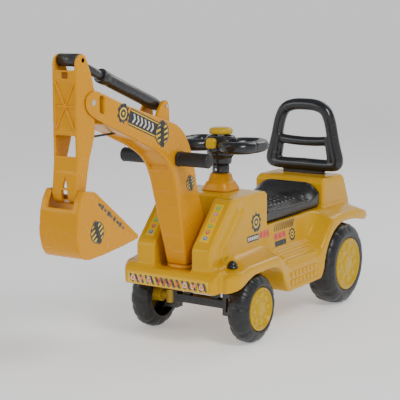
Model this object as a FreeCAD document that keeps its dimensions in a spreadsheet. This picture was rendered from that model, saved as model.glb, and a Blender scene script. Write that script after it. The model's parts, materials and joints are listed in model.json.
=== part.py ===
"""Ride-on toy digger, drawn as a parametric document in millimetres.

X runs across the toy, -Y is the front, +Z is up, and the origin is on the floor under its middle.
"""
import FreeCAD, Part
import math
import os
import re

import Sketcher

Vector = FreeCAD.Vector
doc = FreeCAD.newDocument("ride_on_digger")
sheet = doc.addObject("Spreadsheet::Sheet", "dims")

# Driving sizes. Names ending in _y or _z are places, _half is half a width, _r a radius.
SIZES = {
    # fits
    "running": 0.05, "gap": 0.4, "slack": 1.5,
    # walls
    "body_wall": 3.0, "boom_wall": 2.4, "stick_wall": 2.8, "bucket_wall": 2.8, "seat_wall": 3.0,
    # wheels and axles
    "rear_axle_y": 347, "rear_wheel_r": 90, "rear_tyre_width": 66, "rear_hub_face": 146,
    "rear_rim_r": 57, "rear_axle_r": 5, "front_axle_y": -31, "front_wheel_r": 69,
    "front_tyre_width": 47, "front_hub_face": 140, "front_rim_r": 43, "stub_r": 4,
    "hanger_x": 56, "hanger_thick": 5, "bush_r": 9, "bush_flange_r": 13,
    "hub_boss_r": 15, "tyre_skin": 5, "tyre_round": 13,
    # steering
    "steer_y": 39, "steer_r": 6, "steer_wheel_z": 379, "steer_wheel_half": 94,
    "steer_wheel_depth": 58, "steer_tube": 26, "crank_reach": 38, "crank_z": 100,
    "king_x": 75, "king_r": 4, "knuckle_arm": 45, "knuckle_r": 11, "knuckle_half": 14, "pin_r": 3,
    "tie_z": 82,
    "tie_thick": 6, "beam_half": 8, "yoke_wall": 8, "post_x": 26, "post_wide": 14, "pillar_foot_r": 33,
    "pillar_neck_r": 17, "collar_top_z": 338,
    "column_bore": 7.5, "steer_hub_r": 29, "knob_front": 45, "horn_r": 24.5, "horn_top_z": 414,
    "horn_travel": 3,
    # body shell
    "bumper_half": 106, "bumper_y": -159, "bumper_low_z": 118, "bumper_top_z": 150,
    "fender_half": 134, "shoulder_half": 108, "bonnet_half": 88, "deck_half": 84,
    "cheek_y": -139, "cheek_top_z": 196, "bonnet_y": -58, "bonnet_back_y": 84, "bonnet_z": 286,
    "slot_half": 43, "slot_back_y": -24, "slot_floor_z": 152, "deck_z": 214, "deck_back_y": 394,
    "hump_y": 330, "hump_z": 277, "tail_y": 484, "tail_z": 167, "skirt_z": 75,
    "front_arch_z": 146, "rear_arch_gap": 6,
    # seat, tub and backrest
    "tub_half": 70, "tub_y": 108, "tub_back_y": 296, "tub_floor_z": 138, "tub_wall": 2,
    "deck_margin": 14, "tyre_clear": 8,
    "seat_half": 80, "seat_y": 88, "seat_back_y": 327, "seat_low_z": 217, "seat_z": 246,
    "seat_lip_z": 271, "lid_pin_y": 97, "lid_pin_z": 239, "lid_pin_r": 3, "lid_lug_x": 46,
    "rest_y": 404, "rest_thick": 28, "rest_half": 97, "rest_low_z": 287, "rest_z": 447,
    "rest_tab_half": 52, "rest_tab_thick": 14, "rest_tab_z": 262,
    # boom
    "boom_half": 30, "boom_pivot_y": -96, "boom_base_z": 160, "king_bolt_r": 6,
    "stick_pin_y": -418, "stick_pin_z": 497, "stick_pin_r": 5, "boom_nose_r": 23,
    "grip_y": -160, "grip_z": 373.5, "grip_r": 14, "grip_end": 98.8, "handle_r": 5,
    "crank_lean": 8, "crank_rise": 35, "crank_pin_r": 2, "rod_slot": 3, "ear_x": 22, "ear_thick": 5,
    "ear_pin_y": -191, "ear_pin_z": 475,
    "ear_pin_r": 3.5,
    # stick, cylinder and bucket
    "stick_half": 26, "stick_front_y": -460, "cross_y": -441, "cross_z": 569, "cross_r": 4,
    "rod_lug": 62, "pull_rod_r": 1.75, "pull_eye_r": 6, "tube_r": 12.5,
    "tube_wall": 3, "piston_r": 8, "tube_start": 14, "tube_length": 170, "piston_length": 180,
    "bucket_half": 44, "bucket_pin_y": -446, "bucket_pin_z": 338, "bucket_pin_r": 4,
    "bucket_back_y": -484, "bucket_ear": 4,
}
for line, (name, number) in enumerate(SIZES.items(), start=1):
    sheet.set("A%d" % line, "'" + name)
    sheet.set("B%d" % line, str(number))
    sheet.setAlias("B%d" % line, name)
doc.recompute()

nodes = []


def bound(text):
    """The expression with every size name pointing at its cell."""
    return re.sub(r"[A-Za-z_]\w*", lambda word: "dims." + word[0] if word[0] in SIZES else word[0],
                  str(text))


def value(text):
    """What an expression is worth now."""
    return float(sheet.evalExpression(bound(text)))


def tie(item, prop, text):
    """Bind a property to an expression in the sheet's names."""
    item.setExpression(prop, bound(text))


def place(item, x=0, y=0, z=0):
    """Put an item's origin at a bound place."""
    for letter, text in zip("xyz", (x, y, z)):
        tie(item, "Placement.Base." + letter, text)
    return item


def keep(item):
    """Count an object as a sub-part, named by its label."""
    nodes.append(item)
    return item


def body(label):
    """An empty PartDesign body that is a sub-part."""
    return keep(doc.addObject("PartDesign::Body", label))


def new_sketch(owner, plane, offset=None):
    """A sketch on one of the body's own origin planes, moved along its normal."""
    sketch = owner.newObject("Sketcher::SketchObject", owner.Label + "_sketch")
    face = [item for item in owner.Origin.OriginFeatures if item.Role == plane + "_Plane"][0]
    sketch.AttachmentSupport = [(face, "")]
    sketch.MapMode = "FlatFace"
    if offset is not None:
        tie(sketch, "AttachmentOffset.Base.z", offset)
    return sketch


def polygon(owner, plane, points, offset=None):
    """A closed outline whose corners are each bound to the sheet."""
    sketch = new_sketch(owner, plane, offset)
    corners = [Vector(value(u), value(v), 0) for u, v in points]
    count = len(corners)
    for index in range(count):
        sketch.addGeometry(Part.LineSegment(corners[index], corners[(index + 1) % count]))
    for index in range(count):
        sketch.addConstraint(Sketcher.Constraint("Coincident", index, 2, (index + 1) % count, 1))
    for index, (u, v) in enumerate(points):
        for kind, text, now in (("DistanceX", u, corners[index].x), ("DistanceY", v, corners[index].y)):
            number = sketch.addConstraint(Sketcher.Constraint(kind, index, 1, now))
            tie(sketch, "Constraints[%d]" % number, text)
    return sketch


def rectangle(owner, plane, low, high, offset=None):
    """A bound rectangle from its low corner to its high corner."""
    (u0, v0), (u1, v1) = low, high
    return polygon(owner, plane, [(u0, v0), (u1, v0), (u1, v1), (u0, v1)], offset)


def circles(owner, plane, items, offset=None):
    """Bound circles, each (u, v, radius)."""
    sketch = new_sketch(owner, plane, offset)
    for index, (u, v, radius) in enumerate(items):
        centre = Vector(value(u), value(v), 0)
        sketch.addGeometry(Part.Circle(centre, Vector(0, 0, 1), value(radius)))
        for kind, text, now in (("DistanceX", u, centre.x), ("DistanceY", v, centre.y)):
            number = sketch.addConstraint(Sketcher.Constraint(kind, index, 3, now))
            tie(sketch, "Constraints[%d]" % number, text)
        number = sketch.addConstraint(Sketcher.Constraint("Radius", index, value(radius)))
        tie(sketch, "Constraints[%d]" % number, radius)
    return sketch


def extrude(sketch, length, kind="Pad", symmetric=True, reverse=False):
    """Pad or pocket a sketch, by default half to each side of its plane."""
    owner = sketch.getParentGeoFeatureGroup()
    feature = owner.newObject("PartDesign::" + kind, owner.Label + "_" + kind.lower())
    feature.Profile = sketch
    feature.SideType = "Symmetric" if symmetric else "One side"
    feature.Reversed = reverse
    tie(feature, "Length", length)
    sketch.Visibility = False
    doc.recompute()
    return feature


def cut(sketch, length, symmetric=True, reverse=False):
    """Pocket a sketch and make sure that it removed something."""
    before = sketch.getParentGeoFeatureGroup().Shape.Volume
    feature = extrude(sketch, length, "Pocket", symmetric, reverse)
    if feature.Shape.Volume >= before - 1e-6:
        raise RuntimeError("an empty cut in " + sketch.Label)
    return feature


def turn(sketch, axis="H_Axis", kind="Revolution"):
    """Turn a profile all the way round one of its sketch's axes."""
    owner = sketch.getParentGeoFeatureGroup()
    feature = owner.newObject("PartDesign::" + kind, owner.Label + "_turned")
    feature.Profile = sketch
    feature.ReferenceAxis = (sketch, [axis])
    feature.Angle = 360
    doc.recompute()
    return feature


def inset(points, wall, open_edges=()):
    """An outline moved in by a wall; an edge named open moves out instead."""
    now = [(value(u), value(v)) for u, v in points]
    count = len(now)
    area = sum(a[0] * b[1] - b[0] * a[1] for a, b in zip(now, now[1:] + now[:1]))
    sense = 1 if area > 0 else -1
    normals = []
    for index in range(count):
        (x0, y0), (x1, y1) = now[index], now[(index + 1) % count]
        run = math.hypot(x1 - x0, y1 - y0)
        normals.append((-sense * (y1 - y0) / run, sense * (x1 - x0) / run))
    moved = []
    for index, (u, v) in enumerate(points):
        (ax, ay), (bx, by) = normals[index - 1], normals[index]
        first = -1 if (index - 1) % count in open_edges else 1
        second = -1 if index in open_edges else 1
        cross = ax * by - ay * bx
        if abs(cross) < 1e-3:
            dx, dy = ax * first, ay * first
        else:
            dx = (first * by - second * ay) / cross
            dy = (second * ax - first * bx) / cross
        moved.append(("%s + (%.5f) * %s" % (u, dx, wall), "%s + (%.5f) * %s" % (v, dy, wall)))
    return moved


AXES = {"x": Vector(1, 0, 0), "y": Vector(0, 1, 0), "z": Vector(0, 0, 1)}


def rod(label, radius, length, start, axis="x", bore=None):
    """A round bar, or a tube when it has a bore, from its start along an axis."""
    bar = doc.addObject("Part::Cylinder", label if bore is None else label + "_outer")
    tie(bar, "Radius", radius)
    tie(bar, "Height", length)
    bar.Placement.Rotation = FreeCAD.Rotation(Vector(0, 0, 1), AXES[axis])
    place(bar, *start)
    if bore is None:
        return bar
    hole = doc.addObject("Part::Cylinder", label + "_hole")
    tie(hole, "Radius", bore)
    tie(hole, "Height", length)
    hole.Placement.Rotation = FreeCAD.Rotation(Vector(0, 0, 1), AXES[axis])
    place(hole, *start)
    return combine(label, "Cut", bar, hole)


def combine(label, kind, *items):
    """Part boolean of two or more solids; Compound keeps them apart."""
    joined = doc.addObject("Part::" + kind, label)
    if kind == "Cut":
        joined.Base, joined.Tool = items
    elif kind == "Compound":
        joined.Links = list(items)
    else:
        joined.Shapes = list(items)
    doc.recompute()
    return joined


# A wider tub widens the deck around it and moves the rear wheels outwards.
DECK_HALF = "max(deck_half; tub_half + deck_margin)"
REAR_FACE = "max(rear_hub_face; tub_half + rear_tyre_width + 2 + tyre_clear)"


# ---- Body shell: one yellow moulding, open underneath, with cheeks, bonnet, fenders and hump ----
def body_shell():
    shell_body = body("body_shell")
    bumper = [("bumper_y", "bumper_low_z"), ("bumper_y + 8", "bumper_top_z"),
              ("cheek_y + 25", "bumper_top_z + 8"),
              ("cheek_y + 25", "bumper_low_z")]
    fender = [("cheek_y + 8", "bumper_low_z - 3"), ("cheek_y + 13", "bumper_top_z"),
              ("cheek_y + 80", "front_arch_z + 14"), ("bonnet_back_y - 30", "front_arch_z + 14"),
              ("bonnet_back_y + 4", "front_arch_z - 14"), ("rear_axle_y - 116", "front_arch_z - 14"),
              ("rear_axle_y - 60", "rear_wheel_r + 108"), ("rear_axle_y - 17", "rear_wheel_r + 115"),
              ("rear_axle_y + 78", "rear_wheel_r + 113"), ("tail_y - 14", "tail_z + 24"),
              ("tail_y", "tail_z"),
              ("rear_axle_y - 104", "skirt_z"), ("bonnet_back_y + 8", "skirt_z")]
    shoulder = [("cheek_y + 76", "bumper_top_z - 4"), ("cheek_y + 88", "bumper_top_z + 20"),
                ("deck_back_y - 174", "bumper_top_z + 20"), ("hump_y - 48", "deck_z - 3"),
                ("deck_back_y + 26", "deck_z"), ("tail_y - 22", "tail_z + 32"),
                ("tail_y - 14", "tail_z + 3"), ("bonnet_back_y + 8", "skirt_z + 8")]
    bonnet = [("cheek_y", "bumper_top_z - 10"), ("cheek_y", "cheek_top_z"), ("bonnet_y", "bonnet_z"),
              ("bonnet_back_y", "bonnet_z"), ("bonnet_back_y", "bumper_top_z - 10")]
    deck = [("bonnet_back_y - 12", "skirt_z + 25"), ("bonnet_back_y - 12", "deck_z"),
            ("deck_back_y", "deck_z"),
            ("deck_back_y", "skirt_z + 25")]
    hump = [("hump_y", "deck_z - 30"), ("hump_y", "hump_z - 5"), ("hump_y + 16", "hump_z"),
            ("rest_y + 30", "hump_z"), ("rest_y + 60", "deck_z"), ("rest_y + 64", "deck_z - 30")]
    blocks = [(bumper, "bumper_half", (3,)), (fender, "fender_half", (10, 11, 12)),
              (shoulder, "shoulder_half", (6, 7)), (bonnet, "bonnet_half", (4,)), (deck, DECK_HALF, (3,)),
              (hump, DECK_HALF, (5,))]
    for points, half, _ in blocks:
        extrude(polygon(shell_body, "YZ", points), "2 * " + half)
    for points, half, open_edges in blocks:
        cut(polygon(shell_body, "YZ", inset(points, "body_wall", open_edges)),
            "2 * (%s - body_wall)" % half)
    # the slot between the cheeks has its own walls and floor
    slot = [("cheek_y", "slot_floor_z"), ("cheek_y", "cheek_top_z"), ("bonnet_y", "bonnet_z"),
            ("slot_back_y", "bonnet_z"), ("slot_back_y", "slot_floor_z")]
    liner = [(slot[0][0], "slot_floor_z - body_wall"), slot[1], slot[2],
             ("slot_back_y + body_wall", "bonnet_z"),
             ("slot_back_y + body_wall", "slot_floor_z - body_wall")]
    extrude(polygon(shell_body, "YZ", liner), "2 * (slot_half + body_wall)")
    opened = [("cheek_y - body_wall", "slot_floor_z"), ("cheek_y - body_wall", "cheek_top_z + body_wall"),
              ("bonnet_y", "bonnet_z + 2 * body_wall"), ("slot_back_y", "bonnet_z + 2 * body_wall"),
              ("slot_back_y", "slot_floor_z")]
    cut(polygon(shell_body, "YZ", opened), "2 * slot_half")
    # wheel arches
    front_arch = [("cheek_y - 2", "skirt_z - 30"), ("cheek_y + 8", "bumper_low_z - 3"),
                  ("cheek_y + 30", "bumper_low_z"), ("front_axle_y - 40", "front_arch_z - 13"),
                  ("front_axle_y - 21", "front_arch_z - 5"), ("front_axle_y", "front_arch_z"),
                  ("front_axle_y + 39", "front_arch_z"), ("front_axle_y + 67", "front_arch_z - 5"),
                  ("front_axle_y + 93", "front_arch_z - 21"), ("bonnet_back_y - 4", "skirt_z + 17"),
                  ("bonnet_back_y + 9", "skirt_z - 1"), ("bonnet_back_y + 9", "skirt_z - 30")]
    cut(polygon(shell_body, "YZ", front_arch), "2 * fender_half + 20")
    cut(circles(shell_body, "YZ", [("rear_axle_y", "rear_wheel_r", "rear_wheel_r + rear_arch_gap")]),
        "2 * fender_half + 20")
    behind = [("rear_axle_y", "rear_wheel_r + rear_wheel_r + rear_arch_gap"),
              ("rear_axle_y + 48", "rear_wheel_r + rear_wheel_r + 3"), ("rear_axle_y + 78", "tail_z + 10"),
              ("tail_y + 1", "tail_z"), ("tail_y + 1", "skirt_z - 20"),
              ("rear_axle_y - 80", "skirt_z - 20")]
    cut(polygon(shell_body, "YZ", behind), "2 * fender_half + 20")
    # hangers for the rear axle bushes, from the deck down
    for side in (-1, 1):
        hanger = [("rear_axle_y - 22", "rear_wheel_r - 14"), ("rear_axle_y + 22", "rear_wheel_r - 14"),
                  ("rear_axle_y + 36", "deck_z - 1"), ("rear_axle_y - 36", "deck_z - 1")]
        extrude(polygon(shell_body, "YZ", hanger, "%d * hanger_x" % side), "hanger_thick")
    cut(circles(shell_body, "YZ", [("rear_axle_y", "rear_wheel_r", "bush_r")]),
        "2 * hanger_x + 2 * hanger_thick")
    # openings in the top faces: storage tub, backrest tab, steering column, boom bolt
    cut(rectangle(shell_body, "XY", ("-tub_half - gap", "tub_y - gap"),
                  ("tub_half + gap", "tub_back_y + gap"),
                  "deck_z - 10"), "30")
    cut(rectangle(shell_body, "XY", ("-rest_tab_half - gap", "rest_y - rest_tab_thick / 2 - gap"),
                  ("rest_tab_half + gap", "rest_y + rest_tab_thick / 2 + gap"), "hump_z - 5"), "30")
    cut(circles(shell_body, "XY", [(0, "steer_y", "column_bore")], "bonnet_z - 5"), "30")
    cut(circles(shell_body, "XY", [(0, "boom_pivot_y", "king_bolt_r + running")], "slot_floor_z - 2"), "20")
    # lugs for the seat's hinge pin
    for side in (-1, 1):
        lug = [("bonnet_back_y - 1", "lid_pin_z - 8"), ("lid_pin_y", "lid_pin_z - 7"),
               ("lid_pin_y + 6", "lid_pin_z - 3"), ("lid_pin_y + 6", "lid_pin_z + 4"),
               ("bonnet_back_y - 1", "lid_pin_z + 8")]
        extrude(polygon(shell_body, "YZ", lug, "%d * lid_lug_x" % side), "10")
    cut(circles(shell_body, "YZ", [("lid_pin_y", "lid_pin_z", "lid_pin_r")]), "2 * lid_lug_x + 20")
    return shell_body


# ---- Storage tub under the seat, hung by its flange ----
def storage_tub():
    tub = body("storage_tub")
    extrude(rectangle(tub, "XY", ("-tub_half", "tub_y"), ("tub_half", "tub_back_y"), "tub_floor_z"),
            "deck_z + 2 - tub_floor_z", symmetric=False)
    extrude(rectangle(tub, "XY", ("-tub_half - 5", "tub_y - 5"), ("tub_half + 5", "tub_back_y + 5"),
                      "deck_z"), "2", symmetric=False)
    cut(rectangle(tub, "XY", ("-tub_half + tub_wall", "tub_y + tub_wall"),
                  ("tub_half - tub_wall", "tub_back_y - tub_wall"), "tub_floor_z + tub_wall"),
        "deck_z - tub_floor_z + 20", symmetric=False, reverse=True)


# ---- Seat lid: hollow, hinged at its front edge, with a raised rear lip ----
def seat():
    lid = body("seat_lid")
    side = [("seat_y", "seat_low_z"), ("seat_y - 2", "seat_z - 8"), ("seat_y + 10", "seat_z"),
            ("seat_y + 110", "seat_z - 3"), ("seat_back_y - 60", "seat_z"),
            ("seat_back_y - 28", "seat_z + 8"),
            ("seat_back_y - 10", "seat_lip_z - 1"), ("seat_back_y", "seat_lip_z"),
            ("seat_back_y", "seat_low_z")]
    extrude(polygon(lid, "YZ", side), "2 * seat_half")
    cut(polygon(lid, "YZ", inset(side, "seat_wall", (8,))), "2 * (seat_half - seat_wall)")
    cut(rectangle(lid, "XZ", ("-lid_lug_x - 7", "lid_pin_z - 11"), ("lid_lug_x + 7", "lid_pin_z + 12"),
                  "-seat_y"), "40")
    for side_sign in (-1, 1):
        boss = [("lid_pin_y - 6", "lid_pin_z - 6"), ("lid_pin_y + 6", "lid_pin_z - 6"),
                ("lid_pin_y + 6", "seat_z - 2"), ("lid_pin_y - 6", "seat_z - 2")]
        extrude(polygon(lid, "YZ", boss, "%d * (lid_lug_x + 11)" % side_sign), "6")
    cut(circles(lid, "YZ", [("lid_pin_y", "lid_pin_z", "lid_pin_r + running")]), "2 * lid_lug_x + 34")
    keep(rod("seat_hinge_pin", "lid_pin_r", "2 * lid_lug_x + 30",
             ("-lid_lug_x - 15", "lid_pin_y", "lid_pin_z")))


# ---- Backrest: a closed hoop with a crossbar and a foot tab in the hump's slot ----
def backrest():
    rest = body("backrest")
    hoop = [("-rest_tab_half", "rest_low_z"), ("-rest_half", "rest_low_z + 10"),
            ("-rest_half", "rest_low_z + 30"),
            ("-rest_half + 25", "rest_low_z + 93"), ("-rest_half + 45", "rest_z - 10"),
            ("-rest_half + 62", "rest_z"),
            ("rest_half - 62", "rest_z"), ("rest_half - 45", "rest_z - 10"),
            ("rest_half - 25", "rest_low_z + 93"),
            ("rest_half", "rest_low_z + 30"), ("rest_half", "rest_low_z + 10"),
            ("rest_tab_half", "rest_low_z")]
    extrude(polygon(rest, "XZ", hoop, "-rest_y"), "rest_thick")
    upper = [("-44", "rest_low_z + 73"), ("44", "rest_low_z + 73"), ("40", "rest_z - 38"),
             ("26", "rest_z - 30"),
             ("-26", "rest_z - 30"), ("-40", "rest_z - 38")]
    lower = [("-rest_half + 34", "rest_low_z + 24"), ("rest_half - 34", "rest_low_z + 24"),
             ("rest_half - 45", "rest_low_z + 52"), ("-rest_half + 45", "rest_low_z + 52")]
    cut(polygon(rest, "XZ", upper, "-rest_y"), "rest_thick + 4")
    cut(polygon(rest, "XZ", lower, "-rest_y"), "rest_thick + 4")
    extrude(rectangle(rest, "XZ", ("-rest_tab_half", "rest_tab_z"), ("rest_tab_half", "rest_low_z + 6"),
                      "-rest_y"), "rest_tab_thick")


# ---- Wheels: hollow moulded tyres with a disc hub pressed in from outside ----
SIDES = ((1, "left"), (-1, "right"))


def wheel(name, side, y, radius, rim, width, face, axle):
    """Tyre and hub of one wheel; face is the hub's outer plane and side is +1 or -1."""
    def across(offset, start=face):
        return "%d * (%s %s)" % (side, start, offset)

    inner = face + " - 2 - " + width
    tyre = body(name + "_tyre")
    ring = [(across("", inner), radius + " - 2 * tyre_round"),
            (across("+ 4", inner), radius + " - tyre_round"),
            (across("+ tyre_round", inner), radius), (across("- 2 - tyre_round"), radius),
            (across("- 5"), radius + " - 8"), (across("- 2"), radius + " - tyre_round"),
            (across("- 2"), rim),
            (across("- 10"), rim), (across("- 10"), radius + " - 12 - tyre_skin"),
            (across("- 14"), radius + " - tyre_skin"), (across("+ 16", inner), radius + " - tyre_skin"),
            (across("+ 5", inner), radius + " - 2 * tyre_round")]
    turn(polygon(tyre, "XZ", ring))
    place(tyre, 0, y, radius)
    hub = body(name + "_hub")
    disc = [(across("+ 4", inner), axle + " + running"), (across(""), axle + " + running"),
            (across(""), rim + " - running"), (across("- 8"), rim + " - running"),
            (across("- 8"), "hub_boss_r"), (across("+ 4", inner), "hub_boss_r")]
    turn(polygon(hub, "XZ", disc))
    place(hub, 0, y, radius)


def running_gear():
    for side, word in SIDES:
        wheel("rear_" + word, side, "rear_axle_y", "rear_wheel_r", "rear_rim_r", "rear_tyre_width",
              REAR_FACE, "rear_axle_r")
        wheel("front_" + word, side, "front_axle_y", "front_wheel_r", "front_rim_r", "front_tyre_width",
              "front_hub_face", "stub_r")
    end = "(%s - 4)" % REAR_FACE
    keep(rod("rear_axle", "rear_axle_r", "2 * " + end, ("-" + end, "rear_axle_y", "rear_wheel_r")))
    for side, word in SIDES:
        bush = body("rear_bush_" + word)
        inside = "hanger_x - hanger_thick / 2 - 3"
        outside = "hanger_x + hanger_thick / 2"
        profile = [(inside, "rear_axle_r"), (outside, "rear_axle_r"), (outside, "bush_r"),
                   (inside + " + 3", "bush_r"), (inside + " + 3", "bush_flange_r"),
                   (inside, "bush_flange_r")]
        turn(polygon(bush, "XZ", [("%d * (%s)" % (side, u), v) for u, v in profile]))
        place(bush, 0, "rear_axle_y", "rear_wheel_r")
    # plain tubes on the axle that hold the wheels away from the hangers
    for side, word in SIDES:
        start = "hanger_x + hanger_thick / 2 + gap"
        length = "%s + 2 - rear_tyre_width - gap - (%s)" % (REAR_FACE, start)
        first = start if side > 0 else "-(%s) - (%s)" % (start, length)
        keep(rod("rear_spacer_" + word, "rear_axle_r + 3", length, (first, "rear_axle_y", "rear_wheel_r"),
                 bore="rear_axle_r"))


# ---- Front axle: a cross beam with forked ends, kingpins, knuckles, stub axles and a tie rod ----
def front_axle():
    beam = body("front_axle_beam")
    top = "front_wheel_r + knuckle_half"
    low = "front_wheel_r - knuckle_half"
    end, waist = "(king_x + knuckle_r)", "(king_x - knuckle_r - slack - yoke_wall)"
    base, crown = "%s - yoke_wall" % low, "%s + yoke_wall" % top
    under, over = "front_wheel_r - beam_half", "front_wheel_r + beam_half"
    outline = [("-" + end, base), ("-" + waist, base), ("-" + waist, under), (waist, under),
               (waist, base), (end, base), (end, crown), (waist, crown), (waist, over),
               ("-" + waist, over), ("-" + waist, crown), ("-" + end, crown)]
    extrude(polygon(beam, "XZ", outline, "-front_axle_y"), "2 * knuckle_r")
    for side in (-1, 1):
        gap = [("%d * (king_x - knuckle_r - slack)" % side, low),
               ("%d * (king_x + knuckle_r + 5)" % side, low),
               ("%d * (king_x + knuckle_r + 5)" % side, top),
               ("%d * (king_x - knuckle_r - slack)" % side, top)]
        cut(polygon(beam, "XZ", gap, "-front_axle_y"), "2 * knuckle_r + 4")
        inner, outer = "%d * post_x" % side, "%d * (post_x + post_wide)" % side
        roof = "slot_floor_z - body_wall"
        post = [(inner, over + " - 1"), (outer, over + " - 1"), (outer, roof), (inner, roof)]
        extrude(polygon(beam, "XZ", post, "-front_axle_y"), "12")
    cut(circles(beam, "XY", [("king_x", "front_axle_y", "king_r"), ("-king_x", "front_axle_y", "king_r")]),
        "400")
    for side, word in SIDES:
        across = "%d * king_x" % side
        keep(rod("kingpin_" + word, "king_r", "2 * knuckle_half + 2 * yoke_wall + 1",
                 (across, "front_axle_y", base), "z"))
        knuckle = body("knuckle_" + word)
        half = "knuckle_half - gap"
        extrude(circles(knuckle, "XY", [(across, "front_axle_y", "knuckle_r")], "front_wheel_r"),
                "2 * (%s)" % half)
        arm = [("%d * (king_x - 6)" % side, "front_axle_y"), ("%d * (king_x + 6)" % side, "front_axle_y"),
               ("%d * (king_x + 6)" % side, "front_axle_y + knuckle_arm + 6"),
               ("%d * (king_x - 6)" % side, "front_axle_y + knuckle_arm + 6")]
        extrude(polygon(knuckle, "XY", arm, "tie_z - tie_thick / 2 - 4"), "5")
        extrude(circles(knuckle, "XY", [(across, "front_axle_y + knuckle_arm", "pin_r")],
                        "tie_z - tie_thick / 2 - 5"), "tie_thick + 8", symmetric=False)
        boss_end = "front_hub_face + 2 - front_tyre_width - gap"
        boss = circles(knuckle, "YZ", [("front_axle_y", "front_wheel_r", "stub_r + 5")],
                       "%d * (king_x + (%s - king_x) / 2)" % (side, boss_end))
        extrude(boss, "%s - king_x" % boss_end)
        cut(circles(knuckle, "XY", [(across, "front_axle_y", "king_r + running")], "front_wheel_r"), "80")
        cut(circles(knuckle, "YZ", [("front_axle_y", "front_wheel_r", "stub_r")],
                    "%d * (king_x + king_r + 2 + 25)" % side), "50")
        start = "(king_x + king_r + 2)"
        length = "front_hub_face - 4 - " + start
        first = start if side > 0 else "-%s - (%s)" % (start, length)
        keep(rod("stub_axle_" + word, "stub_r", length, (first, "front_axle_y", "front_wheel_r")))
    tie = body("tie_rod")
    tie_y = "front_axle_y + knuckle_arm"
    end = "(king_x + pin_r + slack + 4)"
    extrude(rectangle(tie, "XY", ("-" + end, tie_y + " - 13"), (end, tie_y + " + 8"), "tie_z"), "tie_thick")
    tongue = [("-11", tie_y), ("11", tie_y), ("11", "steer_y + crank_reach + 8"),
              ("-11", "steer_y + crank_reach + 8")]
    extrude(polygon(tie, "XY", tongue, "tie_z"), "tie_thick")
    slots = [("king_x", tie_y, "9"), ("-king_x", tie_y, "9"), ("0", "steer_y + crank_reach - 2", "9")]
    for across, middle, reach in slots:
        slot = rectangle(tie, "XY", (across + " - pin_r - slack", "%s - %s" % (middle, reach)),
                         (across + " + pin_r + slack", "%s + 5" % middle), "tie_z")
        cut(slot, "tie_thick + 4")


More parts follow.
